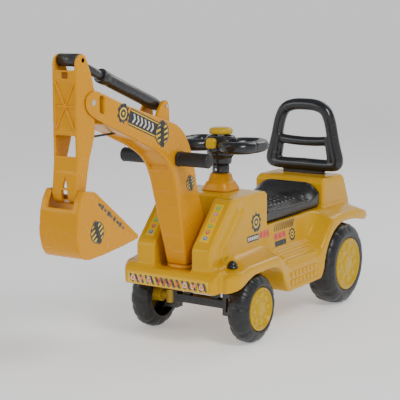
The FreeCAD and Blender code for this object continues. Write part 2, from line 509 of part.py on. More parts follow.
# ---- Steering: stepped pillar, collar, upright shaft with a crank, wheel and horn button ----
def steering():
    pillar = body("steering_pillar")
    foot = "bonnet_z"
    profile = [("column_bore", foot), ("pillar_foot_r", foot), ("pillar_foot_r", foot + " + 3"),
               ("pillar_foot_r - 6", foot + " + 17"), ("pillar_foot_r - 9", foot + " + 18"),
               ("pillar_neck_r + 3.5", foot + " + 35"), ("column_bore", foot + " + 35")]
    turn(polygon(pillar, "XZ", profile), "V_Axis")
    place(pillar, 0, "steer_y", 0)
    collar = body("column_collar")
    profile = [("steer_r + running", foot + " + 35"), ("pillar_neck_r + 0.5", foot + " + 35"),
               ("pillar_neck_r + 0.5", "collar_top_z - 2"), ("pillar_neck_r - 1.5", "collar_top_z"),
               ("steer_r + running", "collar_top_z")]
    turn(polygon(collar, "XZ", profile), "V_Axis")
    place(collar, 0, "steer_y", 0)
    keep(rod("steering_shaft", "steer_r", "steer_wheel_z - crank_z", (0, "steer_y", "crank_z"), "z"))
    crank = body("steering_crank")
    plate = [("-7", "steer_y - 10"), ("7", "steer_y - 10"), ("7", "steer_y + crank_reach + 7"),
             ("-7", "steer_y + crank_reach + 7")]
    extrude(polygon(crank, "XY", plate, "crank_z - 8"), "8", symmetric=False)
    extrude(circles(crank, "XY", [(0, "steer_y", "steer_r + 4")], "crank_z"), "14", symmetric=False)
    extrude(circles(crank, "XY", [(0, "steer_y + crank_reach", "pin_r")], "tie_z - tie_thick / 2 - 2"),
            "crank_z - 6 - tie_z + tie_thick / 2 + 2", symmetric=False)
    cut(circles(crank, "XY", [(0, "steer_y", "steer_r")], "crank_z"), "20", symmetric=False, reverse=True)
    wheel_body = body("steering_wheel")
    turn(polygon(wheel_body, "XZ", [
        ("0", "collar_top_z + gap"), ("pillar_neck_r + 5", "collar_top_z + gap"),
        ("steer_hub_r - 1", "steer_wheel_z - 22"), ("steer_hub_r", "horn_top_z - 17"),
        ("horn_r - 2", "horn_top_z - 17"), ("horn_r - 2", "steer_wheel_z + 6"),
        ("0", "steer_wheel_z + 6")]),
         "V_Axis")
    rim = [("-steer_wheel_half + 20", "-steer_wheel_depth"),
           ("steer_wheel_half - 20", "-steer_wheel_depth"),
           ("steer_wheel_half", "-steer_wheel_depth + 26"), ("steer_wheel_half", "steer_wheel_depth - 26"),
           ("steer_wheel_half - 20", "steer_wheel_depth"), ("-steer_wheel_half + 20", "steer_wheel_depth"),
           ("-steer_wheel_half", "steer_wheel_depth - 26"),
           ("-steer_wheel_half", "-steer_wheel_depth + 26")]
    extrude(polygon(wheel_body, "XY", rim, "steer_wheel_z"), "steer_tube")
    for side in (-1, 1):
        loop = [("%d * 30" % side, "-steer_wheel_depth + 20"),
                ("%d * (steer_wheel_half - 30)" % side, "-steer_wheel_depth + 20"),
                ("%d * (steer_wheel_half - 21)" % side, "-steer_wheel_depth + 34"),
                ("%d * (steer_wheel_half - 21)" % side, "steer_wheel_depth - 34"),
                ("%d * (steer_wheel_half - 30)" % side, "steer_wheel_depth - 20"),
                ("%d * 30" % side, "steer_wheel_depth - 20")]
        cut(polygon(wheel_body, "XY", loop, "steer_wheel_z"), "2 * steer_tube")
    cut(circles(wheel_body, "XY", [(0, 0, "steer_r")], "collar_top_z"), "steer_wheel_z - collar_top_z",
        symmetric=False, reverse=True)
    cut(circles(wheel_body, "XY", [(0, 0, "horn_r - 2")], "steer_wheel_z + 6"), "40", symmetric=False,
        reverse=True)
    cut(rectangle(wheel_body, "XY", ("-15", "-steer_wheel_depth - 1"), ("15", "-steer_hub_r - gap"),
                  "steer_wheel_z"),
        "2 * steer_tube")
    place(wheel_body, 0, "steer_y", 0)
    horn = body("horn_button")
    seat_z = "steer_wheel_z + 6"
    turn(polygon(horn, "XZ", [
        ("0", "horn_top_z - 6"), ("horn_r - 5", "horn_top_z - 6"),
        ("horn_r - 5", seat_z + " + horn_travel + 1"),
        ("horn_r - 2 - gap", seat_z + " + horn_travel + 1"),
        ("horn_r - 2 - gap", "horn_top_z - 17 + horn_travel + 1"),
        ("horn_r", "horn_top_z - 17 + horn_travel + 1"), ("horn_r", "horn_top_z - 6"),
        ("horn_r - 8", "horn_top_z"),
        ("0", "horn_top_z")]), "V_Axis")
    place(horn, 0, "steer_y", 0)
    keep(rod("horn_spring", "7", "horn_top_z - 6 - (%s)" % seat_z, (0, "steer_y", seat_z), "z", bore="5.5"))
    knob = body("front_knob")
    turn(polygon(knob, "YZ", [
        ("-knob_front", "0"), ("-knob_front", "7"), ("4 - knob_front", "10"), ("-steer_hub_r - gap", "11"),
        ("-steer_hub_r - gap", "0")]))
    place(knob, 0, "steer_y", "steer_wheel_z + 5")


# ---- Boom: two hollow half shells with a belly strip, on a swivelling foot in the slot ----
def boom():
    side_view = [("boom_pivot_y + 34", "boom_base_z"), ("boom_pivot_y + 31", "deck_z + 32"),
                 ("boom_pivot_y + 6", "bonnet_z + 19"), ("boom_pivot_y - 5", "grip_z - 28"),
                 ("grip_y + 40", "grip_z + 22"), ("grip_y + 26", "grip_z + 44"),
                 ("grip_y - 1", "grip_z + 64"),
                 ("grip_y - 35", "grip_z + 75"), ("stick_pin_y + 92", "stick_pin_z - 9"),
                 ("stick_pin_y + 4", "stick_pin_z + boom_nose_r - 1"),
                 ("stick_pin_y - 16", "stick_pin_z + 15"),
                 ("stick_pin_y - boom_nose_r", "stick_pin_z"), ("stick_pin_y - 14", "stick_pin_z - 18"),
                 ("stick_pin_y + 10", "stick_pin_z - 31"), ("grip_y - 95", "grip_z + 32"),
                 ("grip_y - 49", "grip_z + 9"),
                 ("grip_y - 24", "grip_z - 18"), ("grip_y - 8", "grip_z - 55"),
                 ("boom_pivot_y - 64", "bonnet_z + 4"),
                 ("boom_pivot_y - 28", "boom_base_z")]
    inner = inset(side_view, "boom_wall")
    for side, word in SIDES:
        half = body("boom_" + word)
        extrude(polygon(half, "YZ", side_view, "%d * (boom_half / 2 + running)" % side), "boom_half")
        cut(polygon(half, "YZ", inner, "%d * (boom_half / 2 - boom_wall / 2)" % side),
            "boom_half - boom_wall")
        ear = [("ear_pin_y - 31", "ear_pin_z - 20"), ("ear_pin_y - 14", "ear_pin_z + 2"),
               ("ear_pin_y - 6", "ear_pin_z + 9"),
               ("ear_pin_y + 6", "ear_pin_z + 9"), ("ear_pin_y + 10", "ear_pin_z + 2"),
               ("ear_pin_y + 10", "ear_pin_z - 35")]
        extrude(polygon(half, "YZ", ear, "%d * ear_x" % side), "ear_thick")
        holes = [("stick_pin_y", "stick_pin_z", "stick_pin_r"), ("grip_y", "grip_z", "handle_r + running"),
                 ("ear_pin_y", "ear_pin_z", "ear_pin_r")]
        cut(circles(half, "YZ", holes, "%d * boom_half" % side), "4 * boom_half")
        nose = rectangle(half, "YZ", ("stick_pin_y - boom_nose_r - 5", "stick_pin_z - 60"),
                         ("stick_pin_y + 34", "stick_pin_z + 40"),
                         "%d * (boom_half / 2 - boom_wall / 2)" % side)
        cut(nose, "boom_half - boom_wall")
        slot = rectangle(half, "YZ", ("stick_pin_y + 30", "stick_pin_z - 95"),
                         ("grip_y - 80", "stick_pin_z - 49"))
        cut(slot, "10")
        cut(circles(half, "XY", [(0, "boom_pivot_y", "king_bolt_r + 6 + gap")], "boom_base_z"), "10")
    foot = body("boom_foot")
    extrude(circles(foot, "XY", [(0, "boom_pivot_y", "boom_half + 4")], "slot_floor_z + gap"),
            "boom_base_z - slot_floor_z - gap", symmetric=False)
    inside = "boom_half - boom_wall - gap"
    extrude(rectangle(foot, "XY", ("-(%s)" % inside, "boom_pivot_y - 20"), (inside, "boom_pivot_y + 24"),
                      "boom_base_z + boom_wall + gap"), "30", symmetric=False)
    extrude(circles(foot, "XY", [(0, "boom_pivot_y", "king_bolt_r + 6")], "boom_base_z - 1"), "6",
            symmetric=False)
    cut(circles(foot, "XY", [(0, "boom_pivot_y", "king_bolt_r")], "slot_floor_z - 10"), "28",
        symmetric=False, reverse=True)
    keep(rod("boom_king_bolt", "king_bolt_r", "18 + body_wall + 6",
             (0, "boom_pivot_y", "slot_floor_z - body_wall - 6"), "z"))
    keep(rod("king_bolt_nut", "king_bolt_r + 5", "5",
             (0, "boom_pivot_y", "slot_floor_z - body_wall - gap - 5"),
             "z", bore="king_bolt_r"))
    keep(rod("stick_pin", "stick_pin_r", "2 * boom_half", ("-boom_half", "stick_pin_y", "stick_pin_z")))
    keep(rod("cylinder_base_pin", "ear_pin_r", "2 * ear_x + ear_thick + 1",
             ("-ear_x - ear_thick / 2 - 0.5", "ear_pin_y", "ear_pin_z")))


# ---- Control handle: a shaft through the elbow with two rubber grips and a crank inside the boom ----
def handle():
    keep(rod("handle_shaft", "handle_r", "2 * (grip_end - 9)", ("-(grip_end - 9)", "grip_y", "grip_z")))
    for side, word in SIDES:
        start = "boom_half + slack"
        first = start if side > 0 else "-grip_end"
        keep(rod("grip_" + word, "grip_r", "grip_end - (%s)" % start, (first, "grip_y", "grip_z"),
                 bore="handle_r"))
    crank = body("handle_crank")
    extrude(circles(crank, "YZ", [("grip_y", "grip_z", "handle_r + 4")]), "20")
    tip = ("grip_y - crank_lean", "grip_z + crank_rise")
    arm = [("grip_y - 6", "grip_z"), ("grip_y + 6", "grip_z"), (tip[0] + " + 3.5", tip[1]),
           (tip[0] + " + 2", tip[1] + " + 3"),
           (tip[0] + " - 2", tip[1] + " + 3"), (tip[0] + " - 3.5", tip[1])]
    extrude(polygon(crank, "YZ", arm, "6"), "4")
    extrude(circles(crank, "YZ", [tip + ("crank_pin_r",)], "1"), "12")
    cut(circles(crank, "YZ", [("grip_y", "grip_z", "handle_r")]), "40")


# ---- Stick: a channel open at the back, with windows in its front web ----
def stick():
    arm = body("stick")
    side_view = [("stick_front_y", "cross_z - 2"), ("stick_front_y", "stick_pin_z - 100"),
                 ("bucket_pin_y - 20", "bucket_pin_z + 8"), ("bucket_pin_y - 11", "bucket_pin_z - 9"),
                 ("bucket_pin_y", "bucket_pin_z - 13"), ("bucket_pin_y + 10", "bucket_pin_z - 8"),
                 ("bucket_pin_y + 9", "bucket_pin_z + 13"), ("bucket_pin_y + 20", "stick_pin_z - 96"),
                 ("stick_pin_y + 7", "stick_pin_z - 55"), ("stick_pin_y + 9", "stick_pin_z + 19"),
                 ("cross_y + 11", "cross_z + 3"), ("cross_y + 5", "cross_z + 10"),
                 ("cross_y - 8", "cross_z + 10"),
                 ("cross_y - 16", "cross_z + 5")]
    extrude(polygon(arm, "YZ", side_view), "2 * stick_half")
    inner = "stick_half - stick_wall"
    channel = [("stick_front_y + stick_wall", "cross_z + 20"),
               ("stick_front_y + stick_wall", "stick_pin_z - 100"),
               ("bucket_pin_y - 20 + stick_wall", "bucket_pin_z + 8"),
               ("bucket_pin_y - 20", "bucket_pin_z - 20"),
               ("stick_pin_y + 30", "bucket_pin_z - 20"), ("stick_pin_y + 30", "cross_z + 20")]
    cut(polygon(arm, "YZ", channel), "2 * (%s)" % inner)
    # the barrel's seat between the lobes, and windows through the front web
    windows = [("cross_z - 20", "cross_z + 20", inner), ("cross_z - 30", "cross_z - 19", "7"),
               ("stick_pin_z - 88", "stick_pin_z - 53", inner + " - 2"),
               ("bucket_pin_z - 20", "bucket_pin_z + 36", "7")]
    for low, high, half in windows:
        cut(rectangle(arm, "XZ", ("-(%s)" % half, low), (half, high), "-stick_front_y"), "56")
    for z in ("stick_pin_z - 51", "stick_pin_z - 92", "stick_pin_z + 44"):
        extrude(rectangle(arm, "YZ", ("stick_front_y + 1", z), ("stick_front_y + 22", z + " + stick_wall")),
                "2 * (%s)" % inner)
    lug = [("stick_front_y + 4", "stick_pin_z - 48.5"), ("stick_front_y + 4", "stick_pin_z - 53"),
           ("stick_pin_y - 8", "stick_pin_z - rod_lug - 7"),
           ("stick_pin_y + 6", "stick_pin_z - rod_lug - 7"),
           ("stick_pin_y + 6", "stick_pin_z - rod_lug + 6"), ("stick_front_y + 20", "stick_pin_z - 48.5")]
    for side in (-1, 1):
        extrude(polygon(arm, "YZ", lug, "%d * 6" % side), "4")
    cut(circles(arm, "YZ", [("stick_pin_y", "stick_pin_z", "stick_pin_r + running"),
                            ("cross_y", "cross_z", "cross_r"),
                            ("bucket_pin_y", "bucket_pin_z", "bucket_pin_r"),
                            ("stick_pin_y", "stick_pin_z - rod_lug", "pin_r")]), "2 * stick_half + 10")
    keep(rod("cylinder_cross_pin", "cross_r", "2 * stick_half", ("-stick_half", "cross_y", "cross_z")))
    keep(rod("pull_rod_pin", "pin_r", "16", ("-8", "stick_pin_y", "stick_pin_z - rod_lug")))
    # pull rod: an eye on the stick's pin, a thin wire, and a slotted plate around the crank pin
    rod_body = body("pull_rod")
    extrude(circles(rod_body, "YZ", [("stick_pin_y", "stick_pin_z - rod_lug", "pull_eye_r")]), "5")
    level = "stick_pin_z - rod_lug"
    bend = "grip_y - 45"
    foot_y, foot_z = "grip_y - crank_lean - 4", "grip_z + crank_rise"
    wire = [("stick_pin_y", level + " - pull_rod_r"), (bend, level + " - pull_rod_r"),
            (foot_y + " - pull_rod_r", foot_z), (foot_y + " + pull_rod_r", foot_z),
            (bend + " + pull_rod_r", level + " + pull_rod_r"), ("stick_pin_y", level + " + pull_rod_r")]
    extrude(polygon(rod_body, "YZ", wire), "2 * pull_rod_r")
    pin_y, pin_z = "grip_y - crank_lean", "grip_z + crank_rise"
    half = "crank_pin_r + rod_slot"
    plate = [(pin_y + " - (%s) - 2" % half, pin_z + " - 19"), (pin_y + " + %s + 2" % half, pin_z + " - 19"),
             (pin_y + " + %s + 2" % half, pin_z + " + crank_pin_r + 3"),
             (pin_y + " - (%s) - 2" % half, pin_z + " + crank_pin_r + 3")]
    extrude(polygon(rod_body, "YZ", plate), "4")
    slot = [(pin_y + " - (%s)" % half, pin_z + " - 17"), (pin_y + " + %s" % half, pin_z + " - 17"),
            (pin_y + " + %s" % half, pin_z + " + crank_pin_r + 1"),
            (pin_y + " - (%s)" % half, pin_z + " + crank_pin_r + 1")]
    cut(polygon(rod_body, "YZ", slot), "10")
    cut(circles(rod_body, "YZ", [("stick_pin_y", "stick_pin_z - rod_lug", "pin_r + running")]), "20")


# ---- Dummy hydraulic cylinder: a tube on the boom's ears and a rod on the stick's cross pin ----
SLOPE = "atan((ear_pin_y - cross_y) / (cross_z - ear_pin_z))"


def lean(item, y, z):
    """Point a piece drawn along +Z from a pin up the cylinder's line."""
    item.Placement.Rotation = FreeCAD.Rotation(Vector(1, 0, 0), 45)
    tie(item, "Placement.Rotation.Angle", SLOPE)
    return place(item, 0, y, z)


def cylinder():
    tube = body("cylinder_tube")
    profile = [("0", "-ear_pin_r - 5"), ("ear_pin_r + 5", "-ear_pin_r - 5"), ("tube_r", "tube_start"),
               ("tube_r", "tube_length"), ("tube_r + 1.5", "tube_length + 1"),
               ("tube_r + 1.5", "tube_length + 9"),
               ("tube_r - 1", "tube_length + 12"), ("piston_r + gap", "tube_length + 12"),
               ("piston_r + gap", "tube_length + 1"), ("tube_r - tube_wall", "tube_length - 4"),
               ("tube_r - tube_wall", "tube_start + 14"), ("0", "tube_start + 14")]
    turn(polygon(tube, "XZ", profile), "V_Axis")
    cut(circles(tube, "YZ", [("0", "0", "ear_pin_r + running")]), "60")
    lean(tube, "ear_pin_y", "ear_pin_z")
    reach = "sqrt((ear_pin_y - cross_y) ^ 2 + (cross_z - ear_pin_z) ^ 2)"
    piston = body("cylinder_rod")
    extrude(circles(piston, "XY", [("0", "0", "piston_r")], "%s - piston_length" % reach),
            "piston_length - cross_r - 5", symmetric=False)
    barrel = "cross_r + 7"
    extrude(circles(piston, "YZ", [("0", reach, barrel)]), "2 * (stick_half - stick_wall - slack)")
    cut(circles(piston, "YZ", [("0", reach, "cross_r + 3.6")]), "100")
    lean(piston, "ear_pin_y", "ear_pin_z")


# ---- Bucket: a hollow scoop with a notch for the stick's end ----
def bucket():
    scoop = body("bucket")
    side_view = [("bucket_pin_y - 17", "bucket_pin_z + 16"), ("bucket_pin_y + 11", "bucket_pin_z + 11"),
                 ("bucket_pin_y + 137", "bucket_pin_z - 84"), ("bucket_pin_y + 140", "bucket_pin_z - 90"),
                 ("bucket_pin_y + 94", "bucket_pin_z - 97"), ("bucket_pin_y + 33", "bucket_pin_z - 103"),
                 ("bucket_pin_y - 3", "bucket_pin_z - 105"), ("bucket_pin_y - 24", "bucket_pin_z - 98"),
                 ("bucket_pin_y - 35", "bucket_pin_z - 76"), ("bucket_back_y", "bucket_pin_z - 53"),
                 ("bucket_pin_y - 35", "bucket_pin_z - 21")]
    extrude(polygon(scoop, "YZ", side_view), "2 * bucket_half")
    cut(polygon(scoop, "YZ", inset(side_view, "bucket_wall", (1,))), "2 * (bucket_half - bucket_wall)")
    neck = [("bucket_pin_y - 34", "bucket_pin_z - 18"), ("bucket_pin_y - 17", "bucket_pin_z + 15"),
            ("bucket_pin_y + 11", "bucket_pin_z + 10"), ("bucket_pin_y + 38", "bucket_pin_z - 10"),
            ("bucket_pin_y + 38", "bucket_pin_z - 18")]
    extrude(polygon(scoop, "YZ", neck), "2 * (stick_half + slack + bucket_ear)")
    notch = rectangle(scoop, "YZ", ("bucket_back_y - 5", "bucket_pin_z - 15"),
                      ("bucket_pin_y + 50", "bucket_pin_z + 40"))
    cut(notch, "2 * (stick_half + slack)")
    cut(circles(scoop, "YZ", [("bucket_pin_y", "bucket_pin_z", "bucket_pin_r + running")]),
        "2 * (stick_half + slack + bucket_ear) + 2")
    keep(rod("bucket_pin", "bucket_pin_r", "2 * (stick_half + slack + bucket_ear)",
             ("-(stick_half + slack + bucket_ear)", "bucket_pin_y", "bucket_pin_z")))


# ---- Small pieces: lamps, boom screws and the collar's screw ----
def small_pieces():
    for side, word in SIDES:
        lamp = body("headlamp_" + word)
        dome = [("0", "0"), ("11", "0"), ("11", "5"), ("9.5", "9"), ("5.5", "12.5"), ("0", "14")]
        turn(polygon(lamp, "XZ", dome), "V_Axis")
        place(lamp, "%d * (bonnet_half + 14)" % side, "cheek_y + 56", "front_arch_z + 12")
    heads = []
    for index, (y, z) in enumerate((("stick_pin_y + 60", "stick_pin_z - 20"),
                                    ("grip_y - 90", "grip_z + 70"),
                                    ("grip_y - 10", "grip_z + 30"), ("boom_pivot_y - 20", "bonnet_z + 20"),
                                    ("boom_pivot_y", "deck_z"))):
        heads.append(rod("boom_screw_%d" % index, "3.5", "1.5", ("-boom_half - 1.5 - running", y, z)))
    keep(combine("boom_screws", "Compound", *heads))
    keep(rod("collar_screw", "2.5", "2", (0, "steer_y - pillar_neck_r - 2.55", "bonnet_z + 43"), "y"))


body_shell()
storage_tub()
seat()
backrest()
running_gear()
front_axle()
steering()
boom()
handle()
stick()
cylinder()
bucket()
small_pieces()
doc.recompute()

for item in doc.Objects:
    if "Invalid" in item.State or "Error" in item.State:
        raise RuntimeError("%s did not recompute" % item.Label)
for item in nodes:
    if item.Shape.isNull() or not item.Shape.isValid():
        raise RuntimeError("%s has a bad shape" % item.Label)
os.makedirs("parts", exist_ok=True)
for item in nodes:
    item.Shape.exportStep("parts/%s.step" % item.Label)
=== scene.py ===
import json
import math

import bmesh
import bpy
from mathutils import Matrix, Vector
from mathutils.bvhtree import BVHTree


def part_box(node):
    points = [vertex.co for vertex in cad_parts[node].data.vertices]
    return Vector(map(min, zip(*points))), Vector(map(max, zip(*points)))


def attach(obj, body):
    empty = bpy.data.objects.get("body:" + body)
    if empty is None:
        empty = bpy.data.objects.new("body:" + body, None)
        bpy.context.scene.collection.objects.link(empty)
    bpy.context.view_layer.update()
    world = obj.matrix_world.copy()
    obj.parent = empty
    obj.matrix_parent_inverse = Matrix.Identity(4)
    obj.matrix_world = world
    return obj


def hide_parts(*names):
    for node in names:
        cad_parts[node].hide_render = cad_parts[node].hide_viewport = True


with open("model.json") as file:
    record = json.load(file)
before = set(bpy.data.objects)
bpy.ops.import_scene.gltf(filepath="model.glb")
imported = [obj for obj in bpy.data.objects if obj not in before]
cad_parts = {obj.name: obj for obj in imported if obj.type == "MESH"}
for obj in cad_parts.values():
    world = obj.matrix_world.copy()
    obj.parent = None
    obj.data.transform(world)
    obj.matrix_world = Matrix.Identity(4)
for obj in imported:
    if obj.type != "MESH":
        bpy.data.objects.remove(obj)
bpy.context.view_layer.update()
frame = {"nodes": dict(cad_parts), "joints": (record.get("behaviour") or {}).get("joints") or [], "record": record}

# ---- Studio ----
# A pale seamless floor, three soft panels of light and a long lens at about a child's eye height,
# turned to the toy's front left corner.
MM = 0.001
AIM = Vector((-10, -24, 272)) * MM
DISTANCE = 2400 * MM
AZIMUTH, ELEVATION = math.radians(32.56), math.radians(9.56)

back = Vector((math.sin(AZIMUTH) * math.cos(ELEVATION), -math.cos(AZIMUTH) * math.cos(ELEVATION),
               math.sin(ELEVATION)))
right = Vector((0, 0, 1)).cross(back).normalized()
upward = back.cross(right)
camera_data = bpy.data.cameras.new("studio_camera")
camera_data.lens = 107.8
camera_data.sensor_width = 36
camera = bpy.data.objects.new("studio_camera", camera_data)
camera.matrix_world = Matrix.Translation(AIM + back * DISTANCE) @ Matrix((right, upward,
                                                                          back)).transposed().to_4x4()
bpy.context.scene.collection.objects.link(camera)
bpy.context.scene.camera = camera


def mesh_object(name, verts, faces):
    """A new mesh object from corners in millimetres."""
    mesh = bpy.data.meshes.new(name)
    mesh.from_pydata([Vector(corner) * MM for corner in verts], [], faces)
    mesh.validate()
    piece = bpy.data.objects.new(name, mesh)
    bpy.context.scene.collection.objects.link(piece)
    return piece


def circle(radius, sides, shift=0.0):
    """Places evenly round a circle."""
    angles = [2 * math.pi * (step + shift) / sides for step in range(sides)]
    return [(radius * math.cos(angle), radius * math.sin(angle)) for angle in angles]


FLOOR_GLOW = 0.36


def floor_material():
    """Matte white paper, lit a little from within."""
    material = bpy.data.materials.new("studio_paper")
    material.use_nodes = True
    shader = material.node_tree.nodes["Principled BSDF"]
    shader.inputs["Base Color"].default_value = (0.92, 0.92, 0.92, 1)
    shader.inputs["Roughness"].default_value = 0.95
    shader.inputs["Emission Color"].default_value = (1, 1, 1, 1)
    shader.inputs["Emission Strength"].default_value = FLOOR_GLOW
    return material


DISH_FLAT, DISH_CURVE, DISH_SIDES = 3600, 3000, 96
dish = [(DISH_FLAT - 600, 0), (DISH_FLAT - 300, 0), (DISH_FLAT, 0)]
for step in range(1, 17):
    angle = math.pi / 2 * step / 16
    dish.append((DISH_FLAT + DISH_CURVE * math.sin(angle), DISH_CURVE * (1 - math.cos(angle))))
dish_verts = [(u, v, z) for radius, z in dish for u, v in circle(radius, DISH_SIDES)]
dish_faces = [tuple(range(DISH_SIDES))]
for row in range(len(dish) - 1):
    for step in range(DISH_SIDES):
        first, second = row * DISH_SIDES + step, row * DISH_SIDES + (step + 1) % DISH_SIDES
        dish_faces.append((first, first + DISH_SIDES, second + DISH_SIDES, second))
floor = mesh_object("studio_floor", dish_verts, dish_faces)
floor.data.polygons.foreach_set("use_smooth", [True] * len(floor.data.polygons))
floor.data.materials.append(floor_material())

world = bpy.data.worlds.new("studio_world")
world.use_nodes = True
world.node_tree.nodes["Background"].inputs["Color"].default_value = (1, 1, 1, 1)
world.node_tree.nodes["Background"].inputs["Strength"].default_value = 0.3
bpy.context.scene.world = world


def soft_panel(name, place, size, power, aim=(0, 0, 250)):
    """A square area light turned to a point, in millimetres and watts."""
    light = bpy.data.lights.new(name, "AREA")
    light.shape = "SQUARE"
    light.size = size * MM
    light.energy = power
    lamp = bpy.data.objects.new(name, light)
    place = Vector(place) * MM
    turn = (Vector(aim) * MM - place).to_track_quat("-Z", "Y")
    lamp.matrix_world = Matrix.Translation(place) @ turn.to_matrix().to_4x4()
    bpy.context.scene.collection.objects.link(lamp)


soft_panel("key_panel", (1700, -900, 2000), 800, 34)
soft_panel("front_panel", (-1500, -2000, 1300), 1100, 10)
soft_panel("rear_panel", (300, 2100, 1900), 1300, 15)

# ---- Wheels ----
# Hollow blow-moulded tyres with shallow cross lugs on the shoulders, and yellow hub discs pressed in
# from outside, each with a rim ring, eight round petals and a boss over the axle's end.


def node_group(name, inputs, outputs):
    """An empty shader group with named sockets, each (name, kind, default)."""
    group = bpy.data.node_groups.new(name, "ShaderNodeTree")
    for label, kind, default in inputs:
        socket = group.interface.new_socket(label, in_out="INPUT", socket_type="NodeSocket" + kind)
        socket.default_value = default
    for label, kind in outputs:
        group.interface.new_socket(label, in_out="OUTPUT", socket_type="NodeSocket" + kind)
    return group


def add_node(tree, kind, values=None, **settings):
    """A node with its plain settings and its sockets' values applied."""
    node = tree.nodes.new("ShaderNode" + kind)
    for label, setting in settings.items():
        setattr(node, label, setting)
    for label, number in (values or {}).items():
        node.inputs[label].default_value = number
    return node


def maths(tree, operation, first, second=None, clamp=False):
    """A math node fed by sockets or numbers; gives its output."""
    node = add_node(tree, "Math", operation=operation, use_clamp=clamp)
    for socket, source in zip(node.inputs, (first, second)):
        if source is None:
            continue
        if isinstance(source, (int, float)):
            socket.default_value = source
        else:
            tree.links.new(source, socket)
    return node.outputs[0]


def moulded_surface():
    """Colour, roughness and height of moulded plastic: clouding, scuffs, rubbed edges, fine ripple."""
    floats = {"Clouding": 0.06, "Roughness": 0.3, "Scuffs": 0.15, "Ripple": 0.2, "Grain": 0.0, "Rub": 0.2}
    tree = node_group("moulded_surface",
                      [("Color", "Color", (1, 1, 1, 1))] + [(label, "Float",
                                                             floats[label]) for label in floats],
                      [("Color", "Color"), ("Roughness", "Float"), ("Height", "Float")])
    link = tree.links.new
    source = tree.nodes.new("NodeGroupInput").outputs
    out = tree.nodes.new("NodeGroupOutput").inputs
    place = add_node(tree, "TexCoord").outputs["Object"]
    cloud = add_node(tree, "TexNoise", {"Scale": 9, "Detail": 3})
    ripple = add_node(tree, "TexNoise", {"Scale": 70, "Detail": 2})
    grain = add_node(tree, "TexNoise", {"Scale": 900, "Detail": 2})
    stretch = add_node(tree, "Mapping", {"Rotation": (0.5, 0.3, 0.7), "Scale": (14, 260, 120)})
    scratch = add_node(tree, "TexNoise", {"Scale": 1.0, "Detail": 6})
    for node in (cloud, ripple, grain, stretch):
        link(place, node.inputs["Vector"])
    link(stretch.outputs["Vector"], scratch.inputs["Vector"])
    thin = add_node(tree, "MapRange", {"From Min": 0.6, "From Max": 0.74})
    link(scratch.outputs["Fac"], thin.inputs["Value"])
    scuffs = maths(tree, "MULTIPLY", thin.outputs["Result"], source["Scuffs"])
    worn = add_node(tree, "MapRange", {"From Min": 0.53, "From Max": 0.62})
    link(add_node(tree, "NewGeometry").outputs["Pointiness"], worn.inputs["Value"])
    rubbed = maths(tree, "MULTIPLY", worn.outputs["Result"], source["Rub"])
    marks = maths(tree, "ADD", scuffs, rubbed)
    swing = maths(tree, "SUBTRACT", cloud.outputs["Fac"], 0.5)
    shade = maths(tree, "MULTIPLY_ADD", swing, source["Clouding"])
    shade.node.inputs[2].default_value = 1.0
    tint = add_node(tree, "VectorMath", operation="SCALE")
    link(source["Color"], tint.inputs[0])
    link(shade, tint.inputs["Scale"])
    lighter = add_node(tree, "Mix", {"B": (1, 0.95, 0.85, 1)}, data_type="RGBA")
    link(tint.outputs["Vector"], lighter.inputs["A"])
    link(maths(tree, "MULTIPLY", marks, 0.35), lighter.inputs["Factor"])
    link(lighter.outputs["Result"], out["Color"])
    dull = maths(tree, "MULTIPLY_ADD", swing, 0.12)
    link(source["Roughness"], dull.node.inputs[2])
    link(maths(tree, "ADD", dull, maths(tree, "MULTIPLY", marks, 0.5), clamp=True), out["Roughness"])
    wave = maths(tree, "MULTIPLY", ripple.outputs["Fac"], source["Ripple"])
    fine = maths(tree, "MULTIPLY", grain.outputs["Fac"], source["Grain"])
    link(maths(tree, "ADD", wave, fine), out["Height"])
    return tree


MOULDED = moulded_surface()


def plastic(name, color, roughness=0.28, clouding=0.08, scuffs=0.15, ripple=0.25, grain=0.0, rub=0.2,
            coat=0.0,
            tint=(1, 1, 1), metallic=0.0):
    """A moulded material: the shared surface group feeding one Principled shader."""
    material = bpy.data.materials.new(name)
    material.use_nodes = True
    tree = material.node_tree
    shader = tree.nodes["Principled BSDF"]
    surface = tree.nodes.new("ShaderNodeGroup")
    surface.node_tree = MOULDED
    surface.inputs["Color"].default_value = (*color, 1)
    values = {"Clouding": clouding, "Roughness": roughness, "Scuffs": scuffs, "Ripple": ripple,
              "Grain": grain, "Rub": rub}
    for label, number in values.items():
        surface.inputs[label].default_value = number
    relief = add_node(tree, "Bump", {"Distance": 0.0012, "Strength": 0.35})
    tree.links.new(surface.outputs["Height"], relief.inputs["Height"])
    tree.links.new(surface.outputs["Color"], shader.inputs["Base Color"])
    tree.links.new(surface.outputs["Roughness"], shader.inputs["Roughness"])
    tree.links.new(relief.outputs["Normal"], shader.inputs["Normal"])
    shader.inputs["Coat Weight"].default_value = coat
    shader.inputs["Coat Roughness"].default_value = 0.08
    shader.inputs["Specular Tint"].default_value = (*tint, 1)
    shader.inputs["Metallic"].default_value = metallic
    return material


HUB_YELLOW = plastic("hub_yellow", (0.55, 0.34, 0.0), roughness=0.28, tint=(1, 0.78, 0.3))
TYRE_BLACK = plastic("tyre_black", (0.010, 0.011, 0.013), roughness=0.36, clouding=0.3, scuffs=0.12, rub=0.1,
                     ripple=0.4)


def joint_place(name):
    """A joint's place in millimetres."""
    found = [joint for joint in frame["joints"] if joint["name"] == name][0]
    return Vector(found["pos_m"]) / MM


REAR = joint_place("rear_left_spin")
FRONT = joint_place("knuckle_left_turn")


def outward(piece):
    """Turn every face of a closed piece outwards."""
    work = bmesh.new()
    work.from_mesh(piece.data)
    bmesh.ops.recalc_face_normals(work, faces=work.faces)
    work.to_mesh(piece.data)
    work.free()
    return piece


